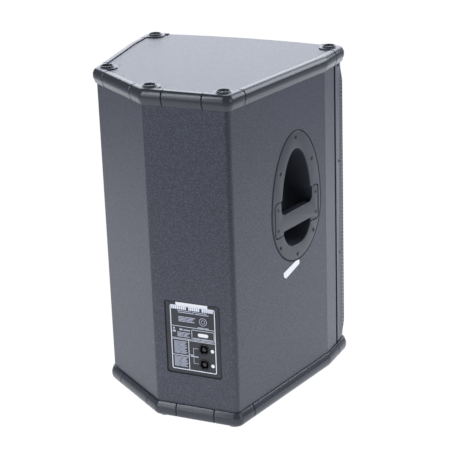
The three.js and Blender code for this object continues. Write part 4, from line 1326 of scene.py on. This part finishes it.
def flare_ring(share, grow, y):
    """A section of the horn, from round at the throat, share 0, to nearly square at the mouth."""
    spread = share ** 1.7
    half_x = THROAT + (MOUTH_X - THROAT) * spread + grow
    half_z = THROAT + (MOUTH_Z - THROAT) * spread + grow
    power = 2 / (2 + 5 * share)
    ring = []
    for i in range(HORN_SIDES):
        a = 2 * math.pi * (i + 0.5) / HORN_SIDES
        x, z = (math.copysign(abs(v) ** power, v) for v in (math.cos(a), math.sin(a)))
        ring.append((half_x * x, y, HORN_Z + half_z * z))
    return ring


def make_horn():
    shares = [i / 16 for i in range(17)]
    throat_y = BAFFLE_FRONT + HORN_DEPTH
    outside = [flare_ring(t, 4, throat_y - HORN_DEPTH * t) for t in shares]
    outside.append(flare_ring(1, 4, BAFFLE_FRONT - 3))
    inside = [flare_ring(0, 0, throat_y + 1)]
    inside += [flare_ring(t, 0, throat_y - HORN_DEPTH * t) for t in shares]
    inside += [flare_ring(1, grow, BAFFLE_FRONT - ahead)
               for grow, ahead in ((1.4, 3.4), (4.2, 5.6), (4.4, 8))]
    face = rectangle(-HORN_W / 2, HORN_W / 2, HORN_Z - HORN_H / 2, HORN_Z + HORN_H / 2, 8)
    flange = plate("flange", face, [], edge_levels(BAFFLE_FRONT - 5, BAFFLE_FRONT - GAP, 0, 1.2), frontal)
    shell = with_added(lofted("horn_flare", outside), flange)
    return without(shell, lofted("cutter", inside))


def driver(name, profile):
    return turned(name, profile, about_frontal(0, BAFFLE_FRONT + HORN_DEPTH + GAP, HORN_Z), 72)


def make_driver_body():
    return driver("compression_driver", [
        (THROAT, 0), (29, 0), (30, 1), (30, 6), (47, 8), (48, 9), (48, 20), (46.8, 20.4),
        (46.8, 22.6), (48, 23), (48, 41), (47, 42), (32, 42), (32, 30), (THROAT, 30),
    ])


def make_driver_cap():
    fins = [(47 - 0.8 * (i % 2), 44 + 1.2 * i) for i in range(8)]
    return driver("driver_rear_cap", [
        (28, 42 + GAP), (46.4, 42 + GAP), *fins, (46.5, 54.5), (42.5, 59.3), (41, 60), (12, 60),
        (11, 58.6), (0, 58.6), (0, 52), (28, 52),
    ])


def make_diaphragm():
    dome = [(25 * i / 10, 38 - 5.6 * (i / 10) ** 2) for i in range(11)]
    edge = [(25 + 5.5 * i / 6, 32.4 + 0.5 * math.sin(math.pi * i / 2)) for i in range(1, 7)]
    return driver("driver_dome", dome + edge + [(r, h + 0.8) for r, h in (dome + edge)[::-1]])


def make_port(name, x):
    outer = PORT_BORE + PORT_WALL
    flare = arc(PORT_BORE + 4, 1, 4, 4, 180, 270, 5)
    profile = [*flare, (PORT_FLANGE - 0.6, -3), (PORT_FLANGE, -2.4), (PORT_FLANGE, -GAP), (outer, -GAP),
               (outer, PORT_LENGTH), (PORT_BORE + 0.8, PORT_LENGTH), (PORT_BORE, PORT_LENGTH - 1)]
    return turned(name, profile, about_frontal(x, BAFFLE_FRONT, HORN_Z), 72)


dress(make_horn(), "black", BODY, "black_plastic", "horn")
dress(make_driver_body(), "steel", BODY, "painted_steel", "driver_body")
dress(make_driver_cap(), "ferrite", BODY, "ferrite", "driver_cap")
dress(make_diaphragm(), "foil", "diaphragm", "diaphragm_foil", "driver_diaphragm")
for side, x in (("left", -PORT_X), ("right", PORT_X)):
    dress(make_port(f"{side}_port", x), "black", BODY, "black_plastic", f"{side}_port_tube")


# ---- crossover parts ----
BOARD_Y = 176


def make_coil():
    outside = [(27 - 0.35 * (i % 2), 1.5 + i) for i in range(24)]
    return turned("air_core_coil", [(12, 0), (26, 0), *outside, (26, 26), (12, 26)],
                  about_frontal(PLATE_X - 12, BOARD_Y - 26 - GAP, PLATE_Z + 30), 64)


def make_capacitor():
    end = [(0, 0), (11.5, 0), (12.6, 0.6), (13, 1.8), (13, 4), (12.4, 4.6), (12.4, 5.4), (13, 6)]
    place = about_frontal(PLATE_X + 15, BOARD_Y - 40 - GAP, PLATE_Z - 32)
    return turned("film_capacitor", [*end, (13, 38.5), (12, 40), (0, 40)], place, 48)


dress(make_coil(), "copper", BODY, "copper", "crossover_coil")
dress(make_capacitor(), "gloss_black", BODY, "black_plastic", "crossover_capacitor")


# ---- damping, foam and grille ----
def make_wadding():
    """A quilted pad of wadding on the angled wall, tufted on a diamond grid."""
    place = wall_frame(ANGLE)
    length = wall(ANGLE)[3]
    columns, rows = 44, 132
    x0, x1, z0, z1 = 22, length - 22, 60, 640
    thickness, quilt = 17.4, 74
    points, faces = [], []
    for side in (0, 1):
        for j in range(rows + 1):
            for i in range(columns + 1):
                u, v = i / columns, j / rows
                edge = min(1, (1 - abs(2 * u - 1) ** 10), (1 - abs(2 * v - 1) ** 26)) ** 0.5
                x, z = x0 + (x1 - x0) * u, z0 + (z1 - z0) * v
                tuft = abs(math.sin(math.pi * (x + z) / quilt) * math.sin(math.pi * (x - z) / quilt))
                thick = thickness * edge * (0.72 + 0.28 * tuft ** 0.5)
                points.append(place(x, z, -PLY - 0.5 - side * max(thick, 0.4)))
    width = columns + 1
    size = width * (rows + 1)
    for j in range(rows):
        for i in range(columns):
            a = j * width + i
            faces.append((a, a + 1, a + width + 1, a + width))
            faces.append((size + a, size + a + width, size + a + width + 1, size + a + 1))
    border = [j * width for j in range(rows)]
    border += [rows * width + i for i in range(columns)]
    border += [(rows - j) * width + columns for j in range(rows)]
    border += [columns - i for i in range(columns)]
    for a, b in zip(border, border[1:] + border[:1]):
        faces.append((a, b, size + b, size + a))
    return mesh_object("quilted_wadding", points, faces, 60)


def front_curve(half, set_back, steps=40):
    """The bowed front in plan, set back, out to half each side."""
    xs = [-half + 2 * half * i / steps for i in range(steps + 1)]
    return [(x, bowed_front(x) + set_back) for x in xs]


GRILLE_SET_BACK, GRILLE_SHEET, GRILLE_INSET, GRILLE_FLANGE = 2.5, 1.5, 0.7, 35.2
# How far the folded edges swell outwards and forwards between the corner pieces.
FOLD_OUT, FOLD_AHEAD, FOLD_MIDDLE = 4.2, 1.6, 352
FLANGE_SCREW_S, FLANGE_SCREW_ZS = 78.5, (38, 244.4, 453.6, 663.5)


def ramp(value, start, end):
    """0 at start, 1 at end, with a soft turn at both."""
    t = min(1, max(0, (value - start) / (end - start)))
    return t * t * (3 - 2 * t)


def make_fold_felt():
    """Black felt just inside each folded edge of the grille."""
    strips = []
    for side in (-1, 1):
        ends = [(side * x, bowed_front(x) + 5) for x in (204, FRONT_RIGHT[0] - GRILLE_INSET - 2)]
        loop = anticlockwise(ends + [(x, y + 6) for x, y in ends[::-1]])
        strips.append(plate("felt", loop, [], [(50, 0), (650, 0)], in_plan))
    return joined("grille_fold_felt", strips)


def make_foam():
    near = GRILLE_SET_BACK + GRILLE_SHEET + 1
    loop = front_curve(203, near) + front_curve(203, near + 6)[::-1]
    levels = edge_levels(INNER_FLOOR + 6, INNER_CEILING - 6, 1.5, 1.5)
    return plate("foam_sheet", loop, [], levels, in_plan, 50)


def grille_path():
    """The folded sheet's outside in plan, from one flange's edge to the other's."""
    edge = FRONT_RIGHT[0] - GRILLE_INSET
    corner = bowed_front(edge) + GRILLE_SET_BACK
    back = corner + GRILLE_FLANGE
    lean = (FRONT_RIGHT[0] - RIGHT_BEND[0]) / (RIGHT_BEND[1] - FRONT_RIGHT[1])
    drift = lean * (back - corner)
    middle = [(x, y, 0) for x, y in front_curve(205, GRILLE_SET_BACK, 60)]
    left = [(-edge + drift, back, 0), (-edge, corner, 10.5)]
    right = [(edge, corner, 10.5), (edge - drift, back, 0)]
    return filleted([*left, *middle, *right, (0, back + 50, 0)], 7.5)[:-1]


def make_grille():
    """A folded sheet with round holes in staggered columns, each in its own six-point cell."""
    path = np.array(grille_path())
    along = np.concatenate([[0], np.cumsum(np.linalg.norm(np.diff(path, axis=0), axis=1))])
    total = along[-1]
    pitch, spacing, hole, sides, rows = 8.1, 7.0, 2.5, 7, 80
    first = GRILLE_FLANGE - 9.5
    columns = int((total - 2 * first) // spacing)
    spacing = (total - 2 * first) / columns
    low, high = INNER_FLOOR + 1, INNER_CEILING - 1
    base = (low + high - rows * pitch) / 2

    def at(u, z, back):
        (x, x0, x1), (y, y0, y1) = (np.interp((u, u - 0.4, u + 0.4), along, path[:, i]) for i in (0, 1))
        size = math.hypot(x1 - x0, y1 - y0)
        inward = ((y0 - y1) / size, (x1 - x0) / size)
        depth = GRILLE_SHEET if back else 0
        near = min(u, total - u)
        swell = ramp(near, 24, 33) * ramp(near, 75, 50) * ramp(abs(z - FOLD_MIDDLE), 312, 270)
        x += math.copysign(FOLD_OUT * swell, x)
        return (x + inward[0] * depth, y - FOLD_AHEAD * swell + inward[1] * depth, z)

    plain = [u for u in along if u < first - 0.3]
    lines = plain + [first + spacing * i for i in range(columns + 1)] + [total - u for u in plain[::-1]]
    start = len(plain)
    steps = 2 * rows + 1
    heights = [low] + [base + pitch / 2 * j for j in range(steps)] + [high]
    index, points = {}, []
    for i, u in enumerate(lines):
        holed = start <= i <= start + columns
        for j, z in enumerate(heights):
            if holed or j in (0, len(heights) - 1):
                for back in (0, 1):
                    index[i, j, back] = len(points)
                    points.append(at(u, z, back))
    top = len(heights) - 1

    def line(i, a, b):
        step = 1 if b >= a else -1
        return [(i, j) for j in range(a, b + step, step) if (i, j, 0) in index]

    panels = []
    for i in range(len(lines) - 1):
        if start <= i < start + columns:
            odd = (i - start) % 2
            panels.append(line(i + 1, 0, 1 + odd) + line(i, 1 + odd, 0))
            end = top - 1 - odd
            panels.append(line(i + 1, end, top) + line(i, top, end))
        else:
            panels.append(line(i + 1, 0, top) + line(i, top, 0))
    faces = []
    for panel in panels:
        for back in (0, 1):
            faces.append([index[i, j, back] for i, j in panel][:: 1 if back == 0 else -1])
    turns = [2 * math.pi * (q + 0.25) / sides for q in range(sides)]
    for i in range(start, start + columns):
        odd = (i - start) % 2
        centre_u = (lines[i] + lines[i + 1]) / 2
        for row in range(rows - odd):
            j = 1 + odd + 2 * row
            border = [(i, j), (i + 1, j), (i + 1, j + 1), (i + 1, j + 2), (i, j + 2), (i, j + 1)]
            angles = [math.atan2((heights[q] - heights[j + 1]), (lines[p] - centre_u)) for p, q in border]
            rims = []
            for back in (0, 1):
                rims.append(len(points))
                points.extend(at(centre_u + hole * math.cos(a), heights[j + 1] + hole * math.sin(a), back)
                              for a in turns)
            ring = sorted([(a % (2 * math.pi), 0, n) for n, a in enumerate(angles)]
                          + [(a % (2 * math.pi), 1, n) for n, a in enumerate(turns)])
            outer = max((r for r in ring if r[1] == 0))[2]
            inner = max((r for r in ring if r[1] == 1))[2]
            for _, kind, n in ring:
                for back in (0, 1):
                    corner_a = index[(*border[outer], back)]
                    rim_a = rims[back] + inner
                    new = index[(*border[n], back)] if kind == 0 else rims[back] + n
                    faces.append((corner_a, new, rim_a))
                if kind == 0:
                    outer = n
                else:
                    inner = n
            for q in range(sides):
                r = (q + 1) % sides
                faces.append((rims[0] + q, rims[0] + r, rims[1] + r, rims[1] + q))
    sides_round = [((i, j), (i + 1, j)) for i in range(len(lines) - 1) for j in (0, top)]
    sides_round += [((i, 0), (i, top)) for i in (0, len(lines) - 1)]
    for a, b in sides_round:
        faces.append((index[(*a, 0)], index[(*b, 0)], index[(*b, 1)], index[(*a, 1)]))
    return mesh_object("perforated_grille", points, faces, 40)


wadding = make_wadding()
dress(wadding, "wadding", BODY, "wadding", "damping_lining")
foam = make_foam()
dress(foam, "foam", BODY, "foam", "grille_foam")
dress(make_grille(), "grille", BODY, "grille_steel", "grille")
dress(make_fold_felt(), "foam", BODY, "foam")
cheek_length = wall(LEFT_CHEEK)[3]
grille_spots = [(wall_frame(k), s, z, -GRILLE_INSET)
                for k, s in ((LEFT_CHEEK, FLANGE_SCREW_S), (RIGHT_CHEEK, cheek_length - FLANGE_SCREW_S))
                for z in FLANGE_SCREW_ZS]
dress_screws("grille_screws", 3.4, 1.7, grille_spots)


def make_pole_socket():
    outer, under, deep = POLE_BORE + POLE_WALL, BOTTOM_FACE - GAP, BOTTOM_FACE + POLE_DEPTH
    return turned("pole_cup", [
        (0, deep + POLE_WALL), (outer - 2, deep + POLE_WALL), (outer, deep + 1), (outer, under),
        (POLE_FLANGE, under), (POLE_FLANGE, under - 1.4), (POLE_FLANGE - 0.8, under - 2.2),
        (POLE_BORE + 1.4, under - 2.2), (POLE_BORE, under - 0.8), (POLE_BORE, deep), (0, deep),
    ], in_plan, 72)


dress(make_pole_socket(), "black", BODY, "black_plastic", "pole_socket")

# ---- floor, lights and background ----
FLOOR_HALF = 14
SHEET_SIDES, SHEET_NEAR, SHEET_DARK, SHEET_TURN = (1.2, 1.8), (0.8, 1.2), 0.12, -24.3
SEEN_FLOOR, SURROUND = 1.02, 0.15
STUDIO_WHITE = (0.97, 0.985, 1.03)
SOFTBOX_COLOUR = (0.93, 0.97, 1.07)
SOFTBOX_DISTANCE, CABINET_MIDDLE = 4.0, 0.35


def make_floor():
    """Plain white to look at; as a light it is bright under the cabinet and dark towards its edges."""
    steps = 8
    width = steps + 1
    points = [(FLOOR_HALF * (2 * i / steps - 1) / MM, FLOOR_HALF * (2 * j / steps - 1) / MM, 0)
              for j in range(width) for i in range(width)]
    starts = [j * width + i for j in range(steps) for i in range(steps)]
    faces = [(a, a + 1, a + width + 1, a + width) for a in starts]
    floor = mesh_object("studio_floor", points, faces)
    surface = Surface("studio_floor_white", 0.9, specular=0.0)
    surface.coloured(surface.mixed(surface.noise(3), (0.34, 0.34, 0.35), (0.36, 0.36, 0.37)))
    surface.shader.inputs["Emission Color"].default_value = (*STUDIO_WHITE, 1)
    split = surface.add("ShaderNodeSeparateXYZ")
    surface.link(surface.stretched((1, 1, 1), math.radians(SHEET_TURN)), split.inputs[0])
    across = surface.add("ShaderNodeMath", operation="ABSOLUTE")
    surface.link(split.outputs["X"], across.inputs[0])
    sides = surface.ranged(across.outputs[0], *SHEET_SIDES, 1, SHEET_DARK)
    near = surface.ranged(split.outputs["Y"], *SHEET_NEAR, 1, SHEET_DARK)
    lit = surface.add("ShaderNodeMath", operation="MINIMUM")
    surface.link(sides, lit.inputs[0])
    surface.link(near, lit.inputs[1])
    surface.link(lit.outputs[0], surface.shader.inputs["Emission Strength"])
    plain = surface.add("ShaderNodeEmission")
    plain.inputs["Strength"].default_value = SEEN_FLOOR
    path = surface.add("ShaderNodeLightPath")
    mix = surface.add("ShaderNodeMixShader")
    surface.link(path.outputs["Is Camera Ray"], mix.inputs["Fac"])
    surface.link(surface.shader.outputs[0], mix.inputs[1])
    surface.link(plain.outputs[0], mix.inputs[2])
    surface.link(mix.outputs[0], surface.tree.nodes["Material Output"].inputs["Surface"])
    floor.data.materials.append(surface.material)


def softbox(name, azimuth, elevation, radiance, width, height):
    """A light that looks at the cabinet; azimuth 0 is behind it, 180 in front of its grille."""
    turn, rise = math.radians(azimuth), math.radians(elevation)
    towards = Vector((0, 0, CABINET_MIDDLE))
    outwards = Vector((math.cos(rise) * math.sin(turn), math.cos(rise) * math.cos(turn), math.sin(rise)))
    data = bpy.data.lights.new(name, "AREA")
    data.shape = "RECTANGLE"
    data.size = width
    data.size_y = height
    data.energy = math.pi * width * height * radiance
    data.color = SOFTBOX_COLOUR
    light = bpy.data.objects.new(name, data)
    scene.collection.objects.link(light)
    light.location = towards + outwards * SOFTBOX_DISTANCE
    light.rotation_euler = (-outwards).to_track_quat("-Z", "Y").to_euler()
    light.visible_camera = False


def light_world():
    """A dim surround for light, plain white to look at."""
    world = bpy.data.worlds.new("studio")
    world.use_nodes = True
    scene.world = world
    nodes, links = world.node_tree.nodes, world.node_tree.links
    nodes.clear()
    lighting = nodes.new("ShaderNodeBackground")
    lighting.inputs["Color"].default_value = (*STUDIO_WHITE, 1)
    lighting.inputs["Strength"].default_value = SURROUND
    seen = nodes.new("ShaderNodeBackground")
    seen.inputs["Color"].default_value = (1, 1, 1, 1)
    path = nodes.new("ShaderNodeLightPath")
    mix = nodes.new("ShaderNodeMixShader")
    links.new(path.outputs["Is Camera Ray"], mix.inputs["Fac"])
    links.new(lighting.outputs[0], mix.inputs[1])
    links.new(seen.outputs[0], mix.inputs[2])
    output = nodes.new("ShaderNodeOutputWorld")
    links.new(mix.outputs[0], output.inputs["Surface"])


scene.view_settings.view_transform = "Standard"
make_floor()
light_world()
for light in (
    ("backdrop", 158, 14, 2.4, 5.6, 2.6),
    ("backdrop_high", 160, 42, 2.5, 5.0, 2.2),
    ("side", 275, 14, 2.2, 2.0, 2.0),
    ("front_left", 225, 25, 6.2, 2.0, 2.0),
    ("rear_low", 30, 8, 3.5, 2.0, 1.0),
    ("strip", 27, 34, 17.0, 0.4, 2.4),
):
    softbox(*light)
